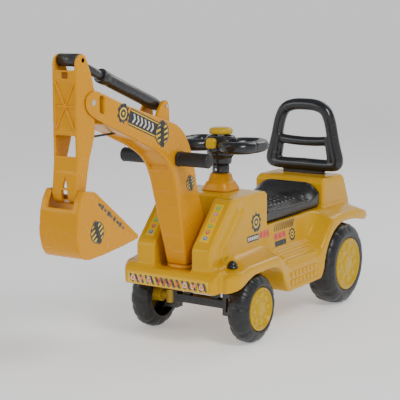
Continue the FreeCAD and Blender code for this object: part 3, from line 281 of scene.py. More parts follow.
def finish(piece, material, body, slot, *nodes):
    """Smooth shading, one material, and the frame's ties."""
    piece.data.materials.clear()
    piece.data.materials.append(material)
    piece.data.polygons.foreach_set("use_smooth", [True] * len(piece.data.polygons))
    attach(piece, body)
    if nodes:
        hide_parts(*nodes)
    return piece


def revolve(name, profile, centre, side, sides, radius_at):
    """Turn a closed (x, r) profile about an axle; side is +1 or -1 and radius_at shapes each point."""
    verts, faces = [], []
    count = len(profile)
    for step in range(sides):
        angle = 2 * math.pi * step / sides
        for x, radius in profile:
            shaped = radius_at(x, radius, angle)
            verts.append((side * x, centre[1] + shaped * math.cos(angle),
                          centre[2] + shaped * math.sin(angle)))
        here, following = step * count, (step + 1) % sides * count
        for index in range(count):
            other = (index + 1) % count
            faces.append((here + index, here + other, following + other, following + index))
    return outward(mesh_object(name, verts, faces))


def round_profile(points, steps=3):
    """A closed profile with its corners eased by corner cutting."""
    for _ in range(steps):
        eased = []
        for (x0, r0), (x1, r1) in zip(points, points[1:] + points[:1]):
            eased.append((0.8 * x0 + 0.2 * x1, 0.8 * r0 + 0.2 * r1))
            eased.append((0.2 * x0 + 0.8 * x1, 0.2 * r0 + 0.8 * r1))
        points = eased
    return points


def tyre(name, node, body, centre, side, rim, lugs):
    """One tyre inside its CAD node's box, with lugs across both shoulders."""
    low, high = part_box(node)
    near, far = sorted((abs(low[0]) / MM, abs(high[0]) / MM))
    radius = (high[2] - low[2]) / MM / 2
    width = far - near
    section = [(near, radius - 25), (near + 3, radius - 11), (near + 11, radius - 2),
               (near + width * 0.5, radius + 0.6),
               (far - 12, radius - 1.5), (far - 4, radius - 9), (far + 0.3, radius - 19),
               (far - 0.5, rim + 3.5),
               (far - 3, rim), (far - 9, rim), (far - 9, radius - 20), (far - 14, radius - 8),
               (near + 17, radius - 8),
               (near + 5, radius - 23)]
    middle = near + width / 2

    def shaped(x, here, angle):
        outer = here > radius - 17 and abs(x - middle) > width * 0.13
        if not outer:
            flat = 0.35 * (1 - math.cos(lugs * angle))
            return min(here - (flat if here > radius - 6 else 0), radius)
        phase = 0 if x > middle else math.pi
        wave = math.cos(lugs * angle + phase)
        return min(here - 0.9 * (1 - min(1, max(-1, 3.2 * wave + 1.6))), radius)

    piece = revolve(name, round_profile(section), centre, side, 240, shaped)
    for corner in piece.data.vertices:
        corner.co.x = max(low[0], min(high[0], corner.co.x))
    finish(piece, TYRE_BLACK, body, "black_tyre", node)


def hub(name, node, body, centre, side, rim):
    """A hub disc as a polar relief, with a plain drum behind it."""
    low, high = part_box(node)
    near, face = sorted((abs(low[0]) / MM, abs(high[0]) / MM))

    def relief(share, angle):
        ring = 3.0 * math.exp(-((share - 0.93) / 0.05) ** 2)
        dish = -3.2 / (1 + math.exp(-(share - 0.33) * 60)) + 3.2 / (1 + math.exp(-(share - 0.86) * 60))
        petal = 0.0
        for u, v in circle(0.62, 8):
            gap = math.hypot(share * math.cos(angle) - u, share * math.sin(angle) - v)
            petal = max(petal, 3.4 / (1 + math.exp((gap - 0.15) * 90)))
        inner = 1.2 * math.exp(-((share - 0.33) / 0.035) ** 2)
        boss = 1.0 / (1 + math.exp((share - 0.2) * 70))
        return min(0.0, -2.6 + dish + petal + inner + boss + 0.8 * ring)

    rings, spokes = 44, 96
    verts, faces = [(side * (face + relief(0, 0)), centre[1], centre[2])], []
    for row in range(1, rings + 1):
        share = row / rings
        for step, (u, v) in enumerate(circle(share * rim, spokes)):
            depth = relief(share, 2 * math.pi * step / spokes)
            verts.append((side * (face + depth), centre[1] + u, centre[2] + v))
    back_rows = ((face - 8, rim), (face - 8, 16), (near + 1, 15), (near, 13.5), (near, 6), (face - 9, 6))
    for x, radius in back_rows:
        verts += [(side * x, centre[1] + u, centre[2] + v) for u, v in circle(radius, spokes)]
    verts.append((side * (face - 9), centre[1], centre[2]))
    for step in range(spokes):
        faces.append((0, 1 + step, 1 + (step + 1) % spokes))
    total = rings + len(back_rows)
    for row in range(total - 1):
        for step in range(spokes):
            other = (step + 1) % spokes
            base = 1 + row * spokes
            faces.append((base + step, base + spokes + step, base + spokes + other, base + other))
    base = 1 + (total - 1) * spokes
    for step in range(spokes):
        faces.append((len(verts) - 1, base + (step + 1) % spokes, base + step))
    piece = outward(mesh_object(name, verts, faces))
    finish(piece, HUB_YELLOW, body, "yellow_hub", node)


LUGS = 14
for side, word, letter in ((1, "left", "l"), (-1, "right", "r")):
    for row, centre, rim in (("rear", REAR, 56.9), ("front", FRONT, 42.9)):
        body = "wheel_%s%s" % (row[0], letter)
        tyre("%s_%s_tyre_skin" % (row, word), "%s_%s_tyre" % (row, word), body, centre, side, rim, LUGS)
        hub("%s_%s_hub_disc" % (row, word), "%s_%s_hub" % (row, word), body, centre, side, rim)


# ---- Body shell ----
# One large blow moulding: bumper, front fenders, scooped cheeks, bonnet, slot for the digging arm,
# ribbed sides, rear fenders, seat deck and the hump that closes the back of the seat.


def bake_down(piece):
    """Apply a piece's modifiers."""
    graph = bpy.context.evaluated_depsgraph_get()
    mesh = bpy.data.meshes.new_from_object(piece.evaluated_get(graph))
    piece.modifiers.clear()
    piece.data = mesh


def joined(name, solids):
    """One object from closed solids, each (corners, faces), facing outwards."""
    verts, faces = [], []
    for corners, sides in solids:
        start = len(verts)
        verts += corners
        faces += [tuple(index + start for index in side) for side in sides]
    return outward(mesh_object(name, verts, faces))


def skin(piece, grain):
    """Merge overlapping solids into one closed skin with cells of the given size."""
    remesh = piece.modifiers.new("skin", "REMESH")
    remesh.mode = "VOXEL"
    remesh.voxel_size = grain * MM
    bake_down(piece)


def relax(piece, rounds):
    """Soften a skin's edges."""
    soften = piece.modifiers.new("soften", "SMOOTH")
    soften.factor = 0.5
    soften.iterations = rounds
    bake_down(piece)


def mould(name, solids, cuts=(), grain=2.0, rounds=4, last=2):
    """A moulded piece from solids less cuts, with softened edges."""
    piece = joined(name, solids)
    skin(piece, grain)
    relax(piece, rounds)
    if cuts:
        tool = joined(name + "_tool", cuts)
        skin(tool, grain)
        carve = piece.modifiers.new("carve", "BOOLEAN")
        carve.operation = "DIFFERENCE"
        carve.solver = "MANIFOLD"
        carve.object = tool
        bake_down(piece)
        bpy.data.objects.remove(tool)
        skin(piece, grain)
        relax(piece, last)
    return piece


def prism(outline, half, start=None):
    """A solid from a side outline of (y, z); half is its half width, or a function of (y, z)."""
    width = half if callable(half) else lambda y, z: half
    count = len(outline)
    left = [(width(y, z), y, z) for y, z in outline]
    mirrored = [(-width(y, z) if start is None else start, y, z) for y, z in outline]
    faces = [tuple(range(count)), tuple(range(2 * count - 1, count - 1, -1))]
    for index in range(count):
        other = (index + 1) % count
        faces.append((index, index + count, other + count, other))
    return left + mirrored, faces


def box_solid(low, high):
    """A box between two corners."""
    (x0, y0, z0), (x1, y1, z1) = low, high
    return prism([(y0, z0), (y1, z0), (y1, z1), (y0, z1)], x1, x0)


def loft(rings):
    """A closed solid through rings of equally many corners."""
    count = len(rings[0])
    verts = [corner for ring in rings for corner in ring]
    faces = [tuple(range(count)), tuple(range(len(verts) - 1, len(verts) - count - 1, -1))]
    for row in range(len(rings) - 1):
        for index in range(count):
            other = (index + 1) % count
            base = row * count
            faces.append((base + index, base + other, base + count + other, base + count + index))
    return verts, faces


def disc_solid(radius, low, high, first=0.0, second=0.0, axis="z", sides=48):
    """A round bar between two places along the x or z axis, centred on the other two places."""
    ring = [(first + u, second + v) for u, v in circle(radius, sides)]
    return loft([[(u, v, level) if axis == "z" else (level, u, v) for u, v in ring] for level in (low, high)])


YELLOW = plastic("body_yellow", (0.64, 0.335, 0.0), roughness=0.22, tint=(1, 0.72, 0.25))
LIP = [(-131, 116), (-109, 118), (-90, 125), (-71, 133), (-52, 139), (-20, 141), (8, 141), (36, 139),
       (49, 135),
       (62, 125), (71, 110), (80, 92), (93, 76), (150, 75), (225, 76), (240, 77), (250, 90), (262, 110),
       (280, 135),
       (300, 160), (320, 176), (347, 185), (380, 184), (410, 181), (430, 177), (455, 172), (484, 167)]
# each row: place along the toy, lower edge, brow, brow height, knee, knee height, top, top height
RAIL_SECTIONS = [(-131, 118, 120, 146, 100, 147, 84, 148), (-105, 132, 133, 150, 98, 155, 86, 158),
                 (-83, 134, 134, 152, 97, 158, 87, 162), (-59, 134, 134, 156, 96, 168, 88, 174),
                 (50, 134, 134, 157, 96, 172, 88, 176), (66, 133, 133, 150, 94, 166, 88, 180),
                 (80, 132, 131, 138, 92, 160, 86, 200), (93, 132, 130, 128, 92, 158, 85, 212),
                 (225, 132, 130, 128, 92, 158, 85, 212), (240, 133, 132, 138, 93, 166, 85, 213),
                 (262, 134, 134, 165, 97, 188, 86, 214), (287, 134, 134, 194, 100, 207, 86, 214),
                 (330, 134, 134, 201, 100, 212, 86, 214), (420, 134, 134, 199, 100, 211, 86, 214),
                 (460, 131, 133, 190, 98, 201, 84, 206), (478, 122, 128, 176, 92, 184, 80, 190),
                 (484, 112, 120, 170, 90, 172, 78, 176)]


def between(table, place):
    """Straight reading of a table of rows keyed by their first value."""
    if place <= table[0][0]:
        return table[0][1:]
    for first, second in zip(table, table[1:]):
        if place <= second[0]:
            share = (place - first[0]) / (second[0] - first[0])
            return [a + (b - a) * share for a, b in zip(first[1:], second[1:])]
    return table[-1][1:]


def side_rail(side):
    """The fender and skirt of one side, from its lower lip over the shoulder to the deck."""
    rings = []
    for step in range(84):
        y = -131 + (484 + 131) * step / 83
        lower, upper, brow, knee_x, knee_z, top_x, top_z = between(RAIL_SECTIONS, y)
        lip = between(LIP, y)[0]
        brow = max(brow, lip + 6)
        knee_z, top_z = max(knee_z, brow + 1), max(top_z, brow + 2)
        rings.append([(side * 60, y, lip), (side * lower, y, lip), (side * lower, y, lip + 5),
                      (side * upper, y, brow),
                      (side * (upper - 5), y, brow + min(4, knee_z - brow)), (side * knee_x, y, knee_z),
                      (side * top_x, y, top_z), (side * 60, y, top_z)])
    return loft(rings)


def step_ribs(side):
    """Three level ribs down the flank under the seat, each standing out further than the last."""
    parts = []
    for low, high, reach in ((147, 158, 103), (138, 149, 114), (128, 140, 125)):
        parts.append(prism([(97, low), (97, high), (231, high), (231, low)], side * reach, side * 60))
    return parts


def cheek(side):
    """One scoop of the bonnet's front: a vertical nose and a slope beside the arm's slot."""
    outline = [(-139, 120), (-139, 196), (-133, 204), (-58, 284), (-46, 286), (-24, 286), (-24, 120)]
    return prism(outline, side * 86, side * 43)


BONNET = [(-24, 120), (-24, 286), (30, 287), (76, 285), (84, 279), (84, 120)]
body_solids = [prism([(-159, 120), (-157, 142), (-151, 150), (-139, 157), (-114, 160), (-114, 118),
                      (-150, 116)],
                     lambda y, z: 106 if y > -155 else 100),
               prism(BONNET, lambda y, z: 88 if z < 270 else 84),
               cheek(1), cheek(-1),
               prism([(-139, 120), (-139, 153), (0, 153), (0, 120)], 60),
               prism([(70, 90), (70, 213), (394, 213), (440, 196), (440, 160), (225, 100)], 86),
               prism([(330, 184), (330, 268), (336, 275), (346, 277), (430, 277), (438, 268), (464, 216),
                      (468, 184)],
                     lambda y, z: 82 if z > 270 else 86)]
for side in (1, -1):
    body_solids.append(side_rail(side))
    body_solids += step_ribs(side)
    for back in (22, 44):
        band = [(-128 + back, 176), (-128 + back, 196), (-62 + back, 262), (-56 + back, 262),
                (-56 + back, 254),
                (-120 + back, 190), (-120 + back, 176)]
        body_solids.append(prism(band, side * 90.5, side * 70))


def arch_cut(side):
    """The opening in the fender over one front wheel."""
    outline = [(-141, 20), (-128, 105), (-109, 110), (-90, 117), (-71, 126), (-52, 132), (-20, 134), (8, 134),
               (36, 132),
               (49, 128), (62, 118), (71, 103), (80, 85), (88, 70), (90, 20)]
    return prism(outline, side * 180, side * 52)


def round_arch(centre, radius, near, far):
    """Round room over a wheel, about its axle."""
    return disc_solid(radius, min(near, far), max(near, far), centre[1], centre[2], axis="x", sides=72)


FRONT_TYRE_R, FRONT_GAP = 69, 7
FRONT_INNER, FRONT_LIP = 52, 127
REAR_ARCH_R, REAR_INNER = 95, 76
body_cuts = [box_solid((-43, -200, 152.5), (43, -25, 320)),
             prism([(-165, 100), (-133, 108), (-105, 110), (-105, 140), (70, 140), (86, 64), (240, 64),
                    (262, 92),
                    (300, 145), (340, 168), (500, 158), (500, 20), (-165, 20)], 78),
             prism([(84, 132), (84, 205), (320, 205), (320, 132)], 62),
             box_solid((-71, 103, 150), (71, 301, 240)),
             box_solid((-53, 396.5, 258), (53, 411.5, 300))]
for side in (1, -1):
    body_cuts.append(arch_cut(side))
    body_cuts.append(round_arch(FRONT, FRONT_TYRE_R + FRONT_GAP, side * FRONT_INNER, side * FRONT_LIP))
    body_cuts.append(round_arch(REAR, REAR_ARCH_R, side * REAR_INNER, side * 200))
    body_cuts.append(prism([(100, 84), (98, 121), (226, 121), (224, 84)], side * 150, side * 129.5))
    body_cuts.append(prism([(100, 60), (100, 116), (226, 116), (226, 60)], side * 119, side * 70))

shell = mould("shell_moulding", body_solids, body_cuts, grain=2.4, rounds=3, last=4)


def settle(piece, *nodes):
    """Keep a moulded skin inside the room its CAD nodes fill."""
    boxes = [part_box(node) for node in nodes]
    low = [min(box[0][axis] for box in boxes) for axis in range(3)]
    high = [max(box[1][axis] for box in boxes) for axis in range(3)]
    for corner in piece.data.vertices:
        corner.co = [max(low[axis], min(high[axis], corner.co[axis])) for axis in range(3)]


settle(shell, "body_shell")
finish(shell, YELLOW, "chassis", "yellow_shell", "body_shell")

# treads of the two footrests, let into the skirts
TREAD_PITCH = 16.5
for side, word in ((1, "left"), (-1, "right")):
    bars = []
    for row in range(2):
        for column in range(7):
            y, z = 108 + column * TREAD_PITCH, 88 + row * TREAD_PITCH
            bars.append(prism([(y, z), (y + 9, z), (y + 11, z + 2), (y + 11, z + 9), (y + 9, z + 11),
                               (y, z + 11),
                               (y - 2, z + 9), (y - 2, z + 2)], side * 131.6, side * 127))
    treads = mould("footrest_treads_" + word, bars, grain=1.0, rounds=3)
    finish(treads, YELLOW, "chassis", "yellow_shell")

# ---- Seat and storage ----
# The tub drops into the deck. Its hinged lid is the seat: a ribbed pan with a lip that arches up at
# the back and wraps down over the sides.
BLACK = plastic("satin_black", (0.011, 0.012, 0.015), roughness=0.24, clouding=0.3, scuffs=0.1, rub=0.08,
                coat=0.1)
SEAT_BLACK = plastic("seat_black", (0.011, 0.011, 0.013), roughness=0.25, clouding=0.3, grain=0.12, rub=0.08)
tub = [prism([(109, 140), (109, 214), (295, 214), (295, 140)], 69.5),
       prism([(103.5, 214), (103.5, 216), (300.5, 216), (300.5, 214)], 74.5)]
tub_room = [prism([(112, 143), (112, 225), (292, 225), (292, 143)], 66.5)]
basin = mould("tub_moulding", tub, tub_room, grain=1.1, rounds=2)
settle(basin, "storage_tub")
finish(basin, BLACK, "chassis", "black_plastic", "storage_tub")


def seat_top(x, y):
    """Height of the seat's upper face."""
    share = abs(x) / 79.0
    pan = between([(86, 238), (98, 246), (140, 243), (198, 241), (262, 243), (283, 249), (299, 256),
                   (317, 266), (327, 269)], y)[0]
    drop = (5 if y < 250 else 5 + 16 * min(1.0, (y - 250) / 60)) * max(0.0, (share - 0.55) / 0.45) ** 2
    return pan - drop


rows, columns = 60, 44
seat_rings = []
for row in range(rows + 1):
    y = 87 + (326.5 - 87) * row / rows
    ring = []
    for column in range(columns + 1):
        x = -79.5 + 159 * column / columns
        ring.append((x, y, seat_top(x, y)))
    for column in range(columns, -1, -1):
        x = -79.5 + 159 * column / columns
        ring.append((x, y, 218))
    seat_rings.append(ring)
seat_solids = [loft(seat_rings)]
for row in range(9):
    for column in range(6):
        y = 112 + row * 16.5
        x = -57 + column * 19.5
        seat_solids.append(box_solid((x, y, 236), (x + 15.5, y + 10.5, 245.5 - (1.2 if 2 < row < 8 else 0))))
seat_cuts = [box_solid((-75, 92, 200), (75, 322, 228))]
for groove in range(24):
    y = 100 + groove * 8.6
    for side in (1, -1):
        seat_cuts.append(box_solid((min(side * 79, side * 90), y, 200),
                                   (max(side * 79, side * 90), y + 2.4, 238)))
lid = mould("seat_moulding", seat_solids, seat_cuts, grain=1.6, rounds=2, last=2)
settle(lid, "seat_lid")
finish(lid, SEAT_BLACK, "seat", "black_plastic", "seat_lid")

# ---- Backrest ----
# A blow-moulded hoop in black plastic, with a crossbar. Its tab is pushed down into the hump
# behind the seat.
HOOP_Y = 404


def tube(path, radius, sides=20):
    """A round tube along a path of points."""
    rings = []
    points = [Vector(point) for point in path]
    for index, point in enumerate(points):
        before, after = points[max(index - 1, 0)], points[min(index + 1, len(points) - 1)]
        along = (after - before).normalized()
        side = along.cross(Vector((0, 1, 0)))
        if side.length < 0.1:
            side = along.cross(Vector((1, 0, 0)))
        side.normalize()
        other = along.cross(side).normalized()
        rings.append([tuple(point + side * radius * u + other * radius * v) for u, v in circle(1, sides)])
    return loft(rings)


def curve_points(points, rounds=3):
    """An open path eased by corner cutting, its ends kept."""
    for _ in range(rounds):
        eased = [points[0]]
        for first, second in zip(points, points[1:]):
            eased.append(tuple(0.75 * a + 0.25 * b for a, b in zip(first, second)))
            eased.append(tuple(0.25 * a + 0.75 * b for a, b in zip(first, second)))
        eased.append(points[-1])
        points = eased
    return points


half_hoop = [(x, HOOP_Y, z) for x, z in ((0, 433.4), (26, 433), (52, 424), (64, 398), (70, 366), (76, 340),
                                         (88, 300), (66, 296), (0, 297))]
hoop_path = curve_points(half_hoop, 4)
hoop_solids = [tube([(side * x, y, z) for x, y, z in hoop_path], 13.6) for side in (1, -1)]
hoop_solids.append(tube(curve_points([(-74, HOOP_Y, 354), (-30, HOOP_Y, 349), (30, HOOP_Y, 349),
                                      (74, HOOP_Y, 354)]), 11.0))
for side in (1, -1):
    hoop_solids.append(tube([(side * 63, HOOP_Y, 362), (side * 67, HOOP_Y, 335), (side * 72, HOOP_Y, 306)],
                            12.5))
hoop_solids.append(box_solid((-51.5, 397.5, 263), (51.5, 410.5, 300)))
hoop = mould("backrest_moulding", hoop_solids, grain=1.6, rounds=11)
settle(hoop, "backrest")
finish(hoop, BLACK, "chassis", "black_plastic", "backrest")

# ---- Steering ----
# A moulded cone and collar carry the column. The handlebar-like wheel has a thick loop at each side,
# and its yellow centre button presses down on a spring.


def lathe(name, profile, x, y, sides=64, fluted=0, depth=0.0):
    """Turn an open (radius, z) profile about an upright line; its ends are closed."""
    rings = []
    for radius, z in profile:
        ring = []
        for step in range(sides):
            angle = 2 * math.pi * step / sides
            here = radius - depth * (0.5 + 0.5 * math.cos(fluted * angle)) if fluted else radius
            ring.append((x + here * math.cos(angle), y + here * math.sin(angle), z))
        rings.append(ring)
    return joined(name, [loft(rings)])


ORANGE = plastic("arm_orange", (0.66, 0.275, 0.0), roughness=0.25, tint=(1, 0.65, 0.2))
STEER = joint_place("steer_turn")
CONE = [(20, 286.5, 2), (33, 286.5, 3.6), (33, 289, 3.6), (27.4, 301.5, 3.0), (26.6, 303, 3.0),
        (24.4, 304.4, 2.6), (21.4, 318, 2.2),
        (20, 320.8, 2), (9, 321, 2)]
cone_rings = []
for radius, z, corner in CONE:
    ring = []
    for u, v in circle(1, 64, 0.5):
        reach = radius / (abs(u) ** corner + abs(v) ** corner) ** (1 / corner)
        ring.append((STEER.x + u * reach, STEER.y + v * reach, z))
    cone_rings.append(ring)
cone = joined("steering_cone", [loft(cone_rings)])
finish(cone, ORANGE, "chassis", "orange_arm", "steering_pillar")
ring = lathe("column_ring", [(9, 321), (17, 321.3), (17.5, 323), (17.5, 336), (16.6, 338), (9, 338)], STEER.x,
             STEER.y,
             fluted=24, depth=0.5)
finish(ring, BLACK, "chassis", "black_plastic", "column_collar")

WHEEL_Z = 379
wheel_solids = []
for side in (1, -1):
    loop = [(10, -12), (34, -42), (64, -50), (84, -30), (84, 30), (64, 50), (34, 42), (10, 12)]
    path = curve_points([(side * x, STEER.y + y, WHEEL_Z) for x, y in loop], 4)
    wheel_solids.append(tube(path, 12.6))
wheel_solids.append(loft([[(u, STEER.y + v, z) for u, v in circle(r, 32)]
                          for r, z in ((20, 339), (22, 340), (22.5, 352), (28, 358), (29.5, 366), (29.5, 394),
                                       (27.5, 397), (25, 398))]))
wheel_solids.append(prism([(STEER.y - 34, 368), (STEER.y - 34, 390), (STEER.y + 30, 390),
                           (STEER.y + 30, 368)], 27))
wheel_solids.append(disc_solid(10, 366, 391, 0, STEER.y - 33))
wheel_cuts = [disc_solid(23, 393, 410, 0, STEER.y)]
handwheel = mould("steering_moulding", wheel_solids, wheel_cuts, grain=1.5, rounds=10, last=3)
settle(handwheel, "steering_wheel")
finish(handwheel, BLACK, "steering", "black_plastic", "steering_wheel")

button = lathe("horn_cap",
               [(0.5, 401), (23, 401), (24, 403), (24, 408), (22.6, 411), (19, 413), (12, 413.8), (0.5, 414)],
               STEER.x, STEER.y)
finish(button, HUB_YELLOW, "horn", "yellow_hub", "horn_button")


def superblock(low, high, bulge=3.2, steps=24):
    """A rounded block inside a box."""
    middle = [(a + b) / 2 for a, b in zip(low, high)]
    reach = [(b - a) / 2 for a, b in zip(low, high)]
    rings = []
    for row in range(1, steps):
        tilt = math.pi * row / steps - math.pi / 2
        ring = []
        for step in range(steps * 2):
            turn = math.pi * step / steps
            direction = (math.cos(tilt) * math.cos(turn), math.cos(tilt) * math.sin(turn), math.sin(tilt))
            size = sum(abs(part) ** bulge for part in direction) ** (1 / bulge)
            ring.append(tuple(c + r * d / size for c, r, d in zip(middle, reach, direction)))
        rings.append(ring)
    return loft(rings)


def in_mm(node):
    """A CAD node's box in millimetres."""
    return [[place / MM for place in corner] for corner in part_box(node)]


knob = joined("front_knob_block", [superblock(*in_mm("front_knob"))])
finish(knob, HUB_YELLOW, "steering", "yellow_hub", "front_knob")

# ---- Headlamps ----
# Small black plastic domes with a raised ring round the foot, each a single moulding.
# They clip to the tops of the front fenders.
for side, word in ((1, "left"), (-1, "right")):
    low, high = in_mm("headlamp_" + word)
    x, y = (low[0] + high[0]) / 2, (low[1] + high[1]) / 2
    radius, base, top = (high[0] - low[0]) / 2, low[2], high[2]
    profile = [(1, base), (radius, base), (radius, base + 2.2), (radius - 1.2, base + 3)]
    for step in range(1, 9):
        angle = math.pi / 2 * step / 8
        profile.append(((radius - 1.4) * math.cos(angle) + 0.3,
                        base + 3 + (top - base - 3) * math.sin(angle)))
    dome = lathe("headlamp_dome_" + word, profile, x, y)
    finish(dome, BLACK, "chassis", "black_plastic", "headlamp_" + word)

# ---- Boom ----
# Two thin mouldings screwed together along a seam, hollow, with a recessed panel on each side and a
# recessed belly. They end in two cheeks that hold the stick's pin.
SLEW = joint_place("boom_slew")
EAR_PIN = joint_place("cylinder_tilt")
BOOM = [(-60, 160), (-61, 200), (-65, 246), (-76, 276), (-90, 305), (-101, 345), (-110, 372), (-120, 395),
        (-134, 417),
        (-148, 429), (-161, 437), (-178, 444), (-195, 448.5), (-260, 468), (-326, 488), (-370, 504),
        (-404, 517),
        (-414, 518.5), (-426, 516), (-434, 511), (-439.5, 504), (-440.5, 497), (-438, 487), (-431, 479),
        (-420, 472),
        (-408, 466), (-330, 435.5), (-255, 405.5), (-230, 394), (-209, 382), (-194, 369), (-184, 355),
        (-174, 336),
        (-168, 318), (-164, 305), (-160, 290), (-142, 225), (-127, 170), (-124, 160)]
ELBOW_TOP = 330


def boom_half(y, z):
    """The boom's half width: slim at the foot, full at the elbow."""
    if z > ELBOW_TOP:
        return 30
    return 22.5 + 7.5 * ((z - 160) / (ELBOW_TOP - 160)) ** 0.8


def outline_inset(points, depth):
    """An outline moved inwards by a depth, for convex-ish outlines."""
    count = len(points)
    pairs = zip(points, points[1:] + points[:1])
    area = sum(ay * bz - by * az for (ay, az), (by, bz) in pairs)
    turn = 1 if area > 0 else -1
    moved = []
    for index in range(count):
        (ay, az), (by, bz), (cy, cz) = points[index - 1], points[index], points[(index + 1) % count]
        first = Vector((by - ay, bz - az)).normalized()
        second = Vector((cy - by, cz - bz)).normalized()
        normal = Vector((-(first.y + second.y), first.x + second.x))
        length = max(normal.length, 0.2)
        normal = normal / length * turn
        moved.append((by + normal.x * depth, bz + normal.y * depth))
    return moved


boom_cuts = [box_solid((-27.8, -470, 440), (27.8, -387, 560)),
             prism([(-186, 340), (-255, 386), (-380, 438), (-380, 452), (-250, 413), (-205, 388),
                    (-180, 362)], 21)]
PANEL = [(-100, 352), (-118, 401), (-140, 424), (-168, 436), (-322, 480), (-398, 505), (-398, 482),
         (-318, 449), (-238, 413),
         (-205, 398), (-182, 378), (-172, 356), (-160, 322), (-100, 322)]
for side in (1, -1):
    boom_cuts.append(prism(outline_inset(PANEL, -1), side * 40, side * 28.9))
boom_skin = mould("boom_moulding", [prism(BOOM, boom_half)], boom_cuts, grain=1.9, rounds=9, last=5)
settle(boom_skin, "boom_left", "boom_right")
finish(boom_skin, ORANGE, "boom", "orange_arm", "boom_left", "boom_right")

ears = []
for side in (1, -1):
    ears.append(prism([(-222, 452), (-214, 466), (-205, 477), (-197, 484), (-191, 485.5), (-185, 484),
                       (-181, 477),
                       (-179, 462), (-178, 440), (-215, 440)], side * 22, side * 15))
lugs = mould("cylinder_ears", ears, [disc_solid(2.9, -40, 40, EAR_PIN.y, EAR_PIN.z, axis="x")], grain=0.9,
             rounds=3)
finish(lugs, ORANGE, "boom", "orange_arm")

foot = lathe("boom_foot_disc", [(3, 152.6), (33, 152.6), (34, 154), (34, 157), (32.5, 159.6), (3, 160)],
             SLEW.x, SLEW.y)
finish(foot, ORANGE, "boom", "orange_arm", "boom_foot")

# ---- Stick ----
# A light ribbed channel, open at the back, with a boxed window, crossed ribs and a fork that holds
# the bucket.
STICK = [(-459, 566), (-460, 480), (-460, 397), (-463, 370), (-466, 346), (-463, 334), (-457, 328.5),
         (-446, 325.5),
         (-438, 330), (-437, 351), (-432, 376), (-426, 401), (-417, 424), (-411, 442), (-409.5, 480),
         (-409, 516), (-418, 545),
         (-430, 571), (-436, 578.5), (-443, 579.5), (-449, 578.5), (-456, 573)]
stick_cuts = [prism([(-454.5, 330), (-454.5, 574), (-400, 590), (-390, 520), (-390, 440), (-400, 400),
                     (-414, 330)], 23.2),
              box_solid((-20.5, -480, 452), (20.5, -457.6, 534)),
              box_solid((-21, -480, 553), (21, -440, 600)),
              box_solid((-20.5, -480, 382), (20.5, -460.4, 402))]
stick_cuts += [box_solid((-21, -480, 409), (21, -440, 444)),
               box_solid((-7, -480, 330), (7, -440, 352)),
               box_solid((-7, -480, 539), (7, -440, 550))]
triangle = [(-6.5, -480, 355), (6.5, -480, 355), (0.5, -480, 374), (-0.5, -480, 374)]
stick_cuts.append(loft([triangle, [(x, -440, z) for x, _, z in triangle]]))
stick_solids = [prism(STICK, 26)]
stick_skin = mould("stick_channel", stick_solids, stick_cuts, grain=1.3, rounds=2, last=2)
settle(stick_skin, "stick")
finish(stick_skin, ORANGE, "stick", "orange_arm", "stick")


def bar(start, end, width, depth):
    """A square rib between two places across the stick's face."""
    first, second = Vector(start), Vector(end)
    along = (second - first).normalized()
    side = along.cross(Vector((0, 1, 0))).normalized() * width / 2
    out = Vector((0, depth / 2, 0))
    return loft([[tuple(place + side + out), tuple(place + side - out), tuple(place - side - out),
                  tuple(place - side + out)]
                 for place in (first, second)])


ribs = []
for start, end in (((-20, -458, 453), (20, -458, 533)), ((20, -458, 453), (-20, -458, 533)),
                   ((-22, -458, 493), (22, -458, 493)),
                   ((-6.5, -459, 377), (6.5, -459, 377))):
    ribs.append(bar(start, end, 3.0, 4.4))
lattice = mould("stick_lattice", ribs, grain=0.9, rounds=2)
finish(lattice, ORANGE, "stick", "orange_arm")

# ---- Bucket ----
# A thin orange moulding: a scoop with round ribs pressed into its back and floor, open towards the
# rider, with a cheek at each side. It hangs on a pin through the stick's fork.
BUCKET = [(-463, 353), (-450, 352), (-435, 349), (-372, 301.5), (-309, 254), (-306.5, 250), (-310, 247),
          (-352, 241), (-413, 235),
          (-449, 233.5), (-461, 235.5), (-470, 240), (-477, 250), (-481, 262), (-483.5, 275), (-483.5, 286),
          (-482.5, 300),
          (-480.5, 317), (-474, 336)]
INNER = [(-455, 390), (-425, 375), (-362, 322), (-290, 266), (-300, 252.5), (-316, 251.5), (-352, 246),
         (-413, 240.5), (-447, 239),
         (-458, 241.5), (-466, 247), (-472, 256), (-475.5, 268), (-477.5, 286), (-476, 300), (-474, 316),
         (-467, 334),
         (-462, 345)]
bucket_solids = [prism(BUCKET, 41)]
for side in (1, -1):
    rim = [(-460, 350), (-435, 346), (-372, 298.5), (-312, 252)]
    bucket_solids.append(tube([(side * 41, y, z) for y, z in rim], 3.1))
bucket_cuts = [prism(INNER, 37.6), box_solid((-27.5, -500, 323), (27.5, -396, 380))]
for centre in (-32, -16, 0, 16, 32):
    bucket_cuts.append(tube(curve_points([(centre, -488, 312), (centre, -486, 290), (centre, -484.5, 262),
                                          (centre, -475, 238),
                                          (centre, -450, 231.4), (centre, -413, 232.8), (centre, -345, 239)]),
                                          3.1))
scoop = mould("bucket_scoop", bucket_solids, bucket_cuts, grain=1.5, rounds=3, last=3)
settle(scoop, "bucket")
finish(scoop, ORANGE, "bucket", "orange_arm", "bucket")

# ---- Dummy ram ----
# A black plastic barrel with a stepped collar slides over a plastic rod, between the boom's ears
# and a cross pin. It does no work and only follows the stick.


def along_bar(name, profile, start, end, sides=40):
    """Turn (distance, radius) pairs about the line from one place towards another."""
    first = Vector(start)
    axis = (Vector(end) - first).normalized()
    side = axis.cross(Vector((1, 0, 0))).normalized()
    other = axis.cross(side)
    rings = []
    for distance, radius in profile:
        middle = first + axis * distance
        rings.append([tuple(middle + (side * u + other * v) * radius) for u, v in circle(1, sides)])
    return joined(name, [loft(rings)])


